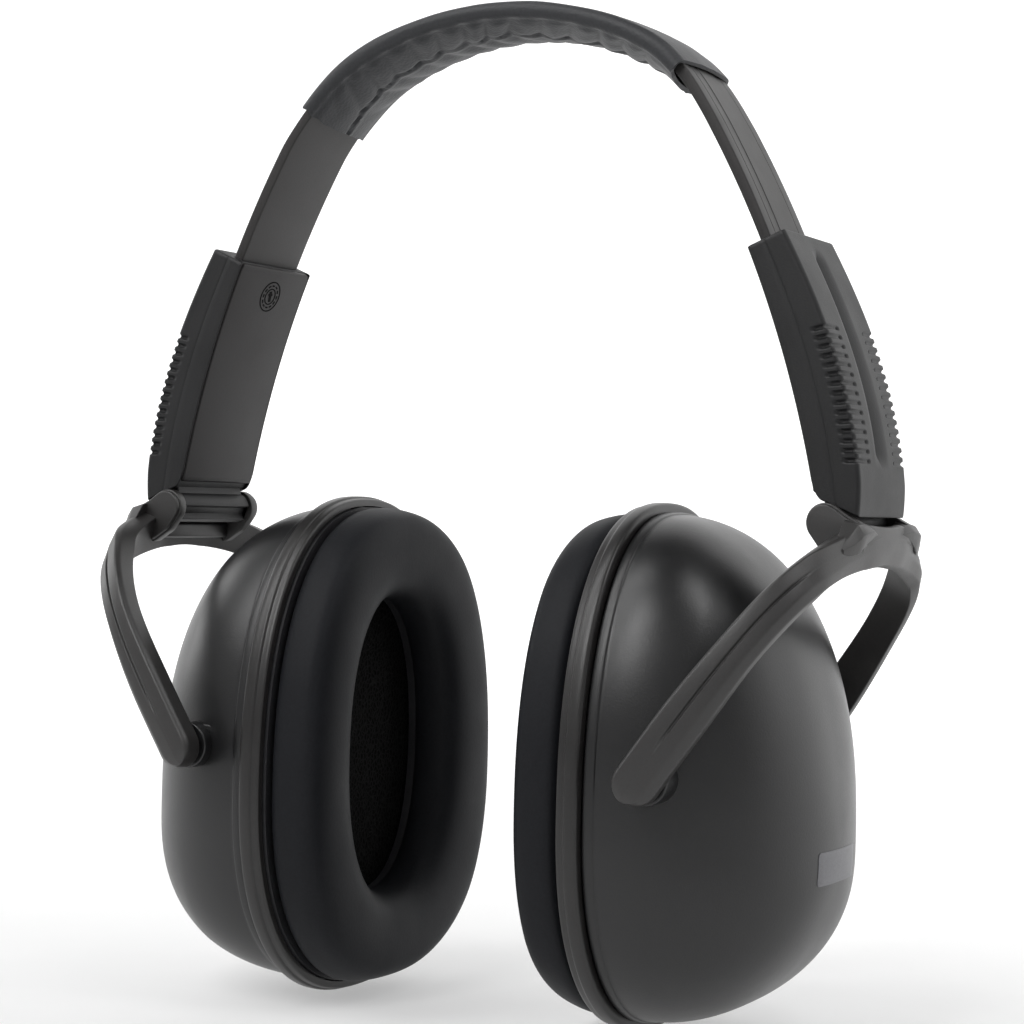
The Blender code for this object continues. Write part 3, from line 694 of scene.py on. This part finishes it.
def make_stamp(side, label):
    """Round moulding stamp on the inner plate: three rings of ticks round a pointer, coloured near-black as
    painted shade of the relief.
    """
    points, faces = [], []

    def add_box(angle, y, length, width, turn):
        """A low bar on the plate, lying across the radius at a turn."""
        c, s = math.cos(turn), math.sin(turn)
        start = len(points)
        for lift in (-0.03, 0.07):
            for a, b in ((-1, -1), (1, -1), (1, 1), (-1, 1)):
                u, v = a * length / 2, b * width / 2
                across, along = u * c - v * s, u * s + v * c
                x, height = polar(SLIDE_CENTRE, SLIDE_RADIUS + COVER_INNER - lift,
                                  angle + math.degrees(along / SLIDE_RADIUS))
                points.append((side * x, y + across, height))
        for face in ((0, 1, 2, 3), (4, 5, 6, 7), (0, 1, 5, 4), (1, 2, 6, 5), (2, 3, 7, 6), (3, 0, 4, 7)):
            faces.append(tuple(start + i for i in face))

    middle, across_middle = 21.77, 0.9
    for radius, length, width, count in ((3.35, 0.5, 0.26, 44), (2.5, 0.75, 0.34, 12), (1.75, 0.3, 0.26, 36)):
        for i in range(count):
            turn = 2 * math.pi * i / count
            angle = middle + math.degrees(radius * math.sin(turn) / SLIDE_RADIUS)
            add_box(angle, across_middle + radius * math.cos(turn), length, width, turn + math.pi / 2)
    add_box(middle, across_middle, 2.4, 0.8, math.pi / 2 + 0.25)
    add_box(middle + 0.16, across_middle - 0.35, 1.1, 0.5, math.pi / 4)
    add_box(middle + 0.16, across_middle + 0.15, 1.1, 0.5, 3 * math.pi / 4)
    make_piece(label + "_moulding_stamp", points, faces, LOOKS["stamp"], label + "_slider", sharp=30)


# ---------------------------------------------------------------- yoke

PIVOT = np.array([50.3, 53.2])
ARM_PATH = ((80.4, -16.0, 95.8), (76.5, -36.9, 90.3), (69.0, -41.2, 79.9), (50.3, -43.3, 53.2))
ARM_HALF_WIDTH = 4.2
BEVEL_SHIFT = 2.7
CREASE_FLOOR = 1.75
CREASE_DEPTH = 0.47
ARM_SECTION = ((-4.2, -2.3), (4.2, -2.3), (4.2, 0.1), (BEVEL_SHIFT, 1.75), (0.1, 2.2), (-0.1, CREASE_FLOOR),
               (-0.4, CREASE_FLOOR), (-0.6, 2.24), (-3.5, 2.3), (-4.2, 1.3))
CHEEK_RADIUS = 3.7


def arm_points():
    """The arch's middle line, from one arm's end over the bar to the other's."""
    a, b, c, d = (np.array(p) for p in ARM_PATH)
    points = []
    for t in (1.0, 0.85, 0.7, 0.55, 0.4, 0.27, 0.15):
        s = 1 - t
        points.append(a * s ** 3 + b * 3 * t * s ** 2 + c * 3 * t ** 2 * s + d * t ** 3)
    points += [np.array((80.3, -12.0, 96.1)), np.array((80.9, -5.0, 96.5))]
    mirrored = [p * np.array((1, -1, 1)) for p in points[::-1]]
    return points + mirrored


def bow_rows(side):
    """Rings of the arched bar with both arms, swept in one piece."""
    path = catmull(arm_points(), 10)
    heading = np.gradient(path, axis=0)
    heading /= np.linalg.norm(heading, axis=1, keepdims=True)
    run = np.concatenate([[0.0], np.cumsum(np.linalg.norm(np.diff(path, axis=0), axis=1))])
    start, end = path[0], path[-1]
    tips = ARM_HALF_WIDTH * np.sin(np.radians([8, 20, 32, 44, 56, 67, 77, 85]))
    path = np.concatenate([[start - heading[0] * tip for tip in tips[::-1]], path,
                           [end + heading[-1] * tip for tip in tips]])
    run = np.concatenate([-tips[::-1], run, run[-1] + tips])
    heading = np.concatenate([[heading[0]] * len(tips), heading, [heading[-1]] * len(tips)])
    whole = run[-len(tips) - 1]
    rows = []
    for place, way, travel in zip(path, heading, run):
        past = max(0.0, -travel, travel - whole)
        waist = 0.14 * smoothstep(12.0, 34.0, min(travel, whole - travel))
        waist *= smoothstep(8.0, 22.0, abs(place[1]))
        waist += 0.14 * (1 - smoothstep(0.0, 12.0, abs(place[1])))
        narrow = math.sqrt(1 - (past / ARM_HALF_WIDTH) ** 2) * (1 - waist)
        low = 1 - 0.35 * (past / ARM_HALF_WIDTH) ** 4
        turned = 1 - smoothstep(10.0, 37.0, abs(place[1]))
        outward = np.array((0.0, math.copysign(1.0, place[1]) if abs(place[1]) > 1e-6 else 0.0, 0.0))
        outward = outward * (1 - turned) + np.array((0.96, 0.0, 0.28)) * turned
        outward = outward - way * outward.dot(way)
        outward /= np.linalg.norm(outward)
        across = np.cross(way, outward)
        near_end = min(max(travel, 0.0), max(whole - travel, 0.0))
        crease = smoothstep(5.0, 14.0, near_end) * (1 - smoothstep(44.0, 50.0, near_end))
        corners = []
        for shift, lift in ARM_SECTION:
            if shift == BEVEL_SHIFT:
                shift -= 1.3 * turned
            elif lift == CREASE_FLOOR:
                lift += CREASE_DEPTH * (1 - crease)
            corners.append((shift, lift))
        row = []
        for shift, lift in fillet(corners, 0.4, 3):
            row.append(place + across * shift * narrow + outward * (lift * (low if lift > 0 else 1)))
        rows.append([(side * p[0], p[1], p[2]) for p in row])
    return rows


SHOULDER_STATIONS = (
    (7.5, ((79.6, 99.3), (81.7, 99.2), (82.6, 98.9), (82.5, 98.4), (81.0, 98.4))),
    (11.4, ((79.2, 101.0), (82.3, 100.4), (83.5, 99.4), (82.6, 97.6), (80.7, 97.8))),
    (12.9, ((79.0, 101.6), (82.2, 100.7), (83.5, 99.3), (82.6, 97.2), (80.5, 97.5))),
    (15.0, ((79.0, 101.6), (82.1, 100.7), (83.4, 99.1), (82.5, 96.2), (80.2, 96.4))),
    (16.7, ((79.0, 101.4), (82.0, 100.5), (83.2, 98.7), (82.3, 95.2), (80.0, 95.6))),
    (17.4, ((79.0, 100.8), (81.7, 99.9), (82.9, 98.0), (82.0, 95.0), (79.8, 95.4))),
    (19.2, ((78.9, 98.8), (81.0, 98.2), (82.2, 97.0), (81.7, 94.8), (79.5, 95.2))),
    (21.6, ((78.6, 96.6), (80.0, 96.5), (81.0, 96.0), (80.9, 95.0), (79.0, 95.0))),
)


def make_yoke(side, label):
    """The arch, the bar under the hinge, and two stepped cheeks, each with a wedge out into the arm."""
    def add(name, rows, sharp, nodes=()):
        skin("{}_{}".format(label, name), rows, LOOKS["yoke"], label + "_yoke", nodes, sharp=sharp)

    add("yoke_bow", bow_rows(side), 28, [label + "_yoke"])
    lobe = [tuple(polar(HINGE, CHEEK_RADIUS, turn)) for turn in spread(60, 212, 10)]
    plate = lobe + [(73.7, 95.8), (77.4, 93.4), (80.6, 93.2), (82.0, 94.6), (82.6, 98.4), (82.2, 100.6),
                    (79.0, 102.3)]
    core = [(77.4, 94.3), (80.8, 93.7), (81.8, 95.0), (82.8, 98.3), (82.2, 99.5), (79.6, 100.1), (79.0, 97.9),
            (77.2, 97.2)]
    add("yoke_bar", block_rows(core, side, -12.8, 12.8, soft=0.2, corner=0.5), 30)
    for back, where in ((-1, "front"), (1, "rear")):
        low, high = sorted((back * 12.5, back * 14.6))
        add(where + "_cheek_inner", block_rows(plate, side, low, high, soft=0.25, corner=0.5), 32)
        inner = inset(fillet(plate, 0.5), 0.35)
        low, high = sorted((back * 13.9, back * 15.5))
        add(where + "_cheek_outer", block_rows(inner, side, low, high, soft=0.3, corner=0.1), 32)
        rows = [[(side * x, back * y, z) for x, z in fillet(loop, 0.22)] for y, loop in SHOULDER_STATIONS]
        add(where + "_shoulder", rows, 30)


# ---------------------------------------------------------------- ear cup

CUP_HEIGHT = 104.0
CUP_MIDDLE = 46.0
RIM_HALF_WIDTH = 40.7
SHELL_ROOT = 37.0
SHELL_DEPTH = 37.0
SHELL_EDGE = 2.2
SHELL_TIP = 37.5
SHELL_WALL = 2.3
INNER_DEPTH = SHELL_DEPTH - 2.2
BOSS_RADIUS = 4.6
FOAM_INSET = 4.4
# How full the dome is across, above its tip and below it.
SIDE_POWER = 2.2
TOP_POWER = 2.12
BOTTOM_POWER = 2.07


def outline(half_width, top, bottom, middle, power=2.3, count=160):
    """Egg-shaped loop of (y, height) points, widest at the middle height."""
    turn = np.linspace(0, 2 * math.pi, count, endpoint=False)
    c, s = np.cos(turn), np.sin(turn)
    reach = np.where(s > 0, top - middle, middle - bottom)
    y = half_width * np.sign(c) * np.abs(c) ** (2 / power)
    return np.stack([y, middle + reach * np.sign(s) * np.abs(s) ** (2 / power)], axis=1)


def rim_outline(shrink, count=160):
    """The rim's outline, drawn in."""
    return outline(RIM_HALF_WIDTH - shrink, CUP_HEIGHT - shrink, shrink, CUP_MIDDLE, count=count)


def opening_outline(shrink, count=160):
    """The ear opening's outline, drawn in."""
    return outline(19.5 - shrink, 83.0 - shrink, 21.0 + shrink, 52.0, count=count)


def at_depth(side, x, loop):
    """A ring of (y, height) points at a distance from the middle of the head."""
    return [(side * x, y, z) for y, z in loop]


def dome_size(depth):
    """Half width, top, bottom and middle height of the dome at a share of its depth."""
    across, above, below = ((1 - depth ** power) ** (1 / power)
                            for power in (SIDE_POWER, TOP_POWER, BOTTOM_POWER))
    half_width = (RIM_HALF_WIDTH - SHELL_EDGE) * across
    top = SHELL_TIP + (CUP_HEIGHT - SHELL_EDGE - SHELL_TIP) * above
    bottom = SHELL_TIP - (SHELL_TIP - SHELL_EDGE) * below
    middle = CUP_MIDDLE + (SHELL_TIP - CUP_MIDDLE) * depth
    return half_width, top, bottom, middle


def dome_outline(depth, wall, count=160):
    """The dome's outline at a share of its depth, drawn in by a wall's thickness."""
    half_width, top, bottom, middle = dome_size(depth)
    squareness = 2.3 + 0.4 * min(1.0, 2 * depth)
    return outline(half_width - wall, top - wall, bottom + wall, middle, squareness, count)


def make_shell(side, label):
    """Deep egg-shaped dome: a low bead beside the rim, a thick wall, a boss at the front and the rear."""
    def add(name, rows, sharp, nodes=()):
        skin("{}_{}".format(label, name), rows, LOOKS["shell"], label + "_cup", nodes, sharp=sharp)

    rows = []
    for turn in spread(89.3, 6, 42):
        depth = math.sin(math.radians(turn))
        rows.append(at_depth(side, SHELL_ROOT + SHELL_DEPTH * depth, dome_outline(depth, 0.0)))
    base = dome_outline(0.0, 0.0)
    for x, swell in ((40.6, 0.0), (40.1, 0.0), (39.85, 0.06), (39.7, 0.24), (39.5, 0.32), (38.2, 0.42),
                     (37.8, 0.36), (37.62, 0.1), (37.55, -0.5), (36.6, -0.5), (34.0, -0.5)):
        depth = max(0.0, (x - SHELL_ROOT) / SHELL_DEPTH)
        rows.append(at_depth(side, x, inset(dome_outline(depth, 0.0), -swell)))
    rows.append(at_depth(side, 33.6, inset(base, 2.2)))
    for turn in (0, 15, 30, 45, 60, 72, 82):
        depth = math.sin(math.radians(turn))
        rows.append(at_depth(side, SHELL_ROOT + INNER_DEPTH * depth, dome_outline(depth, SHELL_WALL)))
    add("dome", rows, 30, [label + "_cup_shell"])
    for back, where in ((-1, "front"), (1, "rear")):
        low, high = sorted((back * 33.5, back * 39.8))
        loop = np.array([polar(PIVOT, BOSS_RADIUS, turn) for turn in spread(0, 360, 40)[:-1]])
        add(where + "_boss", slab_rows(loop, side, low, high, 0.35, 4), 32)
        pad = fillet([(43.6, 49.4), (50.3, 48.9), (50.3, 57.5), (43.6, 57.3)], 0.8, 4)
        low, high = sorted((back * 33.5, back * 37.3))
        add(where + "_boss_pad", block_rows(pad, side, low, high, soft=0.6, corner=0.1), 32)


def make_rim(side, label):
    """Rim ring: a crowned band with a lower tier towards the cushion."""
    profile = [(32.7, 2.0), (32.7, 0.95), (32.8, 0.7), (33.0, 0.56), (33.5, 0.48), (34.1, 0.44), (34.3, 0.38),
               (34.42, 0.2), (34.6, 0.06), (34.9, 0.0), (35.8, 0.0), (36.5, 0.06), (36.85, 0.16),
               (37.05, 0.34), (37.2, 0.7), (37.25, 1.2), (37.3, 2.0), (36.0, 2.15), (33.5, 2.15)]
    rows = [at_depth(side, x, rim_outline(shrink)) for x, shrink in profile]
    skin(label + "_rim", rows, LOOKS["rim"], label + "_cup", [label + "_rim_ring"], wrap_rows=True, sharp=34)


def make_plate(side, label):
    """Backing plate between rim and cushion, with a rolled lip round its opening."""
    outer, inner = rim_outline(2.3), opening_outline(-0.6)
    stations = [(32.05, 0.0), (31.95, 0.25), (32.05, 0.97), (31.6, 0.985), (31.35, 0.995), (31.45, 1.005),
                (31.8, 1.01), (33.3, 1.01), (33.4, 0.97), (33.4, 0.5), (33.4, 0.0)]
    rows = [at_depth(side, x, outer + (inner - outer) * share) for x, share in stations]
    skin(label + "_backing_plate", rows, LOOKS["plate"], label + "_cup", [label + "_seal_plate"],
         wrap_rows=True, sharp=34)


# From the cushion's back edge out over its face and into the opening: the share of the way from the rim's
# outline to the opening's, and the distance from the middle of the head.
CUSHION_CURVE = ((0.04, 31.7), (-0.05, 30.2), (-0.06, 27.0), (-0.03, 23.8), (0.07, 22.0), (0.25, 21.2),
                 (0.48, 21.1), (0.68, 21.5), (0.84, 22.7), (0.95, 25.0), (1.0, 28.2), (1.0, 30.3),
                 (0.97, 31.6))
PUFF_LIMIT = 0.6 * MM


def make_cushion(side, label):
    """Fat soft ring, blown up by a short cloth simulation and held by its back edge."""
    count = 112
    outer, inner = rim_outline(3.3, count), opening_outline(0.3, count)
    curve = catmull(CUSHION_CURVE, 3)
    rows = [at_depth(side, x, outer + (inner - outer) * share) for share, x in curve]
    back = [at_depth(side, 31.65, outer + (inner - outer) * share) for share in spread(0.9, 0.12, 6)]
    rows = np.array(rows + back)
    height = rows[..., 2]
    forward = smoothstep(31.0, 22.0, np.abs(rows[..., 0]))
    taper = 1.4 * smoothstep(22.0, 4.0, height) - 0.9 * smoothstep(86.0, 100.0, height)
    rows[..., 2] = height + forward * taper
    start_points = world(rows).reshape(-1, 3)
    piece = skin(label + "_cushion_skin", rows, LOOKS["cushion"], None, wrap_rows=True, sharp=80)
    group = piece.vertex_groups.new(name="held")
    for index, point in enumerate(start_points):
        held = float(smoothstep(29.5, 31.1, abs(point[0]) / MM))
        group.add([index], held, "REPLACE")
    cloth = piece.modifiers.new("cloth", "CLOTH")
    for key, value in (("quality", 6), ("mass", 0.1), ("tension_stiffness", 12),
                       ("compression_stiffness", 12), ("shear_stiffness", 4), ("bending_stiffness", 1.5),
                       ("use_pressure", True), ("uniform_pressure_force", 4),
                       ("vertex_group_mass", "held")):
        setattr(cloth.settings, key, value)
    cloth.settings.effector_weights.gravity = 0
    cloth.collision_settings.use_collision = False
    scene = bpy.context.scene
    for step in range(1, 21):
        scene.frame_set(step)
    graph = bpy.context.evaluated_depsgraph_get()
    blown = piece.evaluated_get(graph).to_mesh()
    moved = np.array([tuple(v.co) for v in blown.vertices])
    piece.evaluated_get(graph).to_mesh_clear()
    piece.modifiers.clear()
    scene.frame_set(1)
    travel = moved - start_points
    length = np.maximum(np.linalg.norm(travel, axis=1, keepdims=True), 1e-9)
    travel *= PUFF_LIMIT * np.tanh(length / PUFF_LIMIT) / length
    settled = start_points + travel
    for vertex, place in zip(piece.data.vertices, settled):
        vertex.co = place
    piece.data.update()
    smooth = piece.modifiers.new("smooth", "SUBSURF")
    smooth.levels = 1
    smooth.render_levels = 1
    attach(piece, label + "_cup")
    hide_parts(label + "_ear_cushion")


def make_liner(side, label):
    """Acoustic foam: a soft block with an uneven, slightly sunken face."""
    rows = []
    base = dome_outline(0.0, FOAM_INSET, 120)
    middle = np.array([0.0, 50.0])
    for share in (0.04, 0.15, 0.28, 0.4, 0.52, 0.64, 0.75, 0.85, 0.93, 0.98, 1.0):
        ring = []
        for y, z in middle + (base - middle) * share:
            dent = 0.9 * (1 - share ** 2) + 0.35 * wobble(y * 0.12, z * 0.12, 0.0, side)
            edge = 1.2 * smoothstep(0.9, 1.0, share)
            ring.append((side * (34.2 + dent * 0.8 + edge), y, z))
        rows.append(ring)
    for x in (38.0, 42.0, 46.0, 50.0, 54.0, 56.5):
        depth = max(0.0, (x - SHELL_ROOT) / INNER_DEPTH)
        rows.append(at_depth(side, x, dome_outline(depth, FOAM_INSET, 120)))
    piece = skin(label + "_foam_block", rows, LOOKS["liner"], label + "_cup", [label + "_foam_liner"],
                 sharp=60)


def dome_depth(y, height):
    """How deep the dome is, as a share, over a point of its rim plane."""
    low, high = 0.5, 0.9999
    for _ in range(40):
        depth = (low + high) / 2
        half_width, top, bottom, middle = dome_size(depth)
        reach = top - middle if height > middle else middle - bottom
        inside = abs(y / half_width) ** 2.7 + abs((height - middle) / reach) ** 2.7 < 1
        low, high = (depth, high) if inside else (low, depth)
    return low


def make_label():
    """Small blank label, with round corners, that follows the right dome."""
    corners = fillet([(-9.8, 32.2), (9.0, 32.2), (9.0, 38.6), (-9.8, 38.6)], 1.0, 5)
    middle = corners.mean(axis=0)
    rows = []
    for share, lift in ((0.05, 0.16), (0.3, 0.16), (0.55, 0.16), (0.8, 0.16), (0.97, 0.15), (1.0, 0.1),
                        (1.0, -0.2)):
        ring = []
        for y, height in middle + (subdivide(corners, 4) - middle) * share:
            ring.append((SHELL_ROOT + SHELL_DEPTH * dome_depth(y, height) + lift, y, height))
        rows.append(ring)
    skin("right_blank_label", rows, LOOKS["label"], "right_cup", sharp=40)


def subdivide(loop, parts):
    """A closed loop with every side cut into equal parts."""
    shares = np.arange(parts) / parts
    return np.array([a + (b - a) * t for a, b in zip(loop, np.roll(loop, -1, axis=0)) for t in shares])


# ---------------------------------------------------------------- scene

# Angles in degrees, lengths in metres, the lens and its sensor in millimetres.
CAMERA_TURN, CAMERA_RISE, CAMERA_ROLL = 27.524, 0.053, 1.341
CAMERA_AIM = (0.001409, 0.0, 0.10144 - CROWN_HEIGHT * MM)
CAMERA_DISTANCE = 0.49297
CAMERA_LENS = 84.39

# A name, the turn round the object (0 in front, 90 on its right), the height angle, the box's size and power.
LIGHTS = (
    ("front_strip", 350, 40, (0.15, 0.5), 2.6),
    ("left_front_box", 315, 50, (0.18, 0.9), 2.8),
    ("right_box", 74, 57, (0.25, 0.4), 1.5),
    ("left_box", 270, 18, (0.3, 0.5), 1.1),
    ("rear_right_box", 120, 25, (0.3, 0.5), 0.24),
)
LIGHT_DISTANCE = 0.9
LIGHT_AIM = Vector((0.0, 0.0, -0.1))

FLAT_REACH = 1.6
CURVE_RADIUS = 1.2
WALL_TOP = 4.0


def make_camera():
    """The view the object was built to match."""
    azimuth, elevation, roll = (math.radians(a) for a in (CAMERA_TURN, CAMERA_RISE, CAMERA_ROLL))
    back = Vector((math.sin(azimuth) * math.cos(elevation), -math.cos(azimuth) * math.cos(elevation),
                   math.sin(elevation)))
    right = Vector((math.cos(azimuth), math.sin(azimuth), 0.0))
    up = back.cross(right)
    tilted_right = right * math.cos(roll) + up * math.sin(roll)
    tilted_up = up * math.cos(roll) - right * math.sin(roll)
    turn = Matrix((tilted_right, tilted_up, back)).transposed().to_4x4()
    turn.translation = Vector(CAMERA_AIM) + back * CAMERA_DISTANCE
    lens = bpy.data.cameras.new("camera")
    lens.sensor_width = 36.0
    lens.lens = CAMERA_LENS
    lens.clip_start = 0.01
    camera = bpy.data.objects.new("camera", lens)
    camera.matrix_world = turn
    bpy.context.scene.collection.objects.link(camera)
    bpy.context.scene.camera = camera


def make_light(name, azimuth, elevation, size, power):
    """A soft box that faces the object."""
    turn, rise = math.radians(azimuth), math.radians(elevation)
    way = Vector((math.sin(turn) * math.cos(rise), -math.cos(turn) * math.cos(rise), math.sin(rise)))
    light = bpy.data.lights.new(name, "AREA")
    light.shape = "RECTANGLE"
    light.size, light.size_y = size
    light.energy = power
    lamp = bpy.data.objects.new(name, light)
    lamp.location = LIGHT_AIM + way * LIGHT_DISTANCE
    lamp.rotation_euler = (-way).to_track_quat("-Z", "Y").to_euler()
    bpy.context.scene.collection.objects.link(lamp)


def make_studio():
    """Pale floor that curves up into a wall all round, a dim sky and soft boxes; the floor glows with painted
    light, faint in front and strong at the back.
    """
    floor_height = -CROWN_HEIGHT * MM - 0.0004
    profile = [(reach, 0.0) for reach in (0.001, 0.3, 0.6, 1.0, 1.3, FLAT_REACH)]
    for angle in spread(6, 90, 14):
        turn = math.radians(angle)
        profile.append((FLAT_REACH + CURVE_RADIUS * math.sin(turn), CURVE_RADIUS * (1 - math.cos(turn))))
    profile += [(FLAT_REACH + CURVE_RADIUS, z) for z in spread(1.5, WALL_TOP, 4)]
    mesh = bpy.data.meshes.new("studio_floor")
    turns = spread(0, 2 * math.pi, 72)[:-1]
    points = [(reach * math.cos(t), reach * math.sin(t), floor_height + z)
              for reach, z in profile for t in turns]
    faces = grid_faces(len(profile), len(turns), False, False)
    mesh.from_pydata(points, [], faces + [tuple(range(len(turns)))])
    face_outward(mesh, flip=True)
    mesh.shade_smooth()
    floor = bpy.data.objects.new("studio_floor", mesh)
    bpy.context.scene.collection.objects.link(floor)
    paper = grain_look("floor_paper", (0.90, 0.90, 0.90), (0.88, 0.88, 0.88), (0.7, 0.8), grain=400.0,
                       bump=0.05)
    tree = paper.node_tree
    shader = tree.nodes["Principled BSDF"]
    for link in list(shader.inputs["Base Color"].links):
        tree.links.remove(link)
    fill(shader, **{"Base Color": (0.5, 0.5, 0.5, 1.0), "Emission Color": (1.0, 1.0, 1.0, 1.0)})
    place = node(tree, "ShaderNodeTexCoord")
    axes = node(tree, "ShaderNodeSeparateXYZ")
    # Painted light: the floor glows by itself, faintly at the front and strongly at the back, which whitens
    # the backdrop and washes out shadows on the floor.
    glow = node(tree, "ShaderNodeMapRange", interpolation_type="SMOOTHSTEP",
                **{"From Min": -0.6, "From Max": 0.9, "To Min": 0.12, "To Max": 0.9})
    wire(place, "Object", axes, "Vector")
    wire(axes, "Y", glow, "Value")
    wire(glow, "Result", shader, "Emission Strength")
    mesh.materials.append(paper)

    surround = bpy.data.worlds.new("surround")
    surround.use_nodes = True
    fill(surround.node_tree.nodes["Background"], Color=(1.0, 1.0, 1.0, 1.0), Strength=0.05)
    bpy.context.scene.world = surround
    for light in LIGHTS:
        make_light(*light)
    bpy.context.scene.view_settings.view_transform = "Standard"


def paint_hidden(label):
    """Looks for the pieces that keep their CAD shape, inside a side's slider and hinges."""
    for name, look in (("friction_spring", "spring"), ("hinge_pin", "pin"), ("front_pivot_pin", "pin"),
                       ("rear_pivot_pin", "pin")):
        mesh = frame["nodes"][label + "_" + name].data
        mesh.materials.clear()
        mesh.materials.append(LOOKS[look])


def main():
    make_camera()
    make_studio()
    make_band()
    make_sleeve()
    make_crown_foam()
    for side, label in SIDES:
        make_housing(side, label)
        make_cover(side, label)
        make_stamp(side, label)
        make_yoke(side, label)
        make_shell(side, label)
        make_rim(side, label)
        make_plate(side, label)
        make_cushion(side, label)
        make_liner(side, label)
        paint_hidden(label)
    make_label()


main()
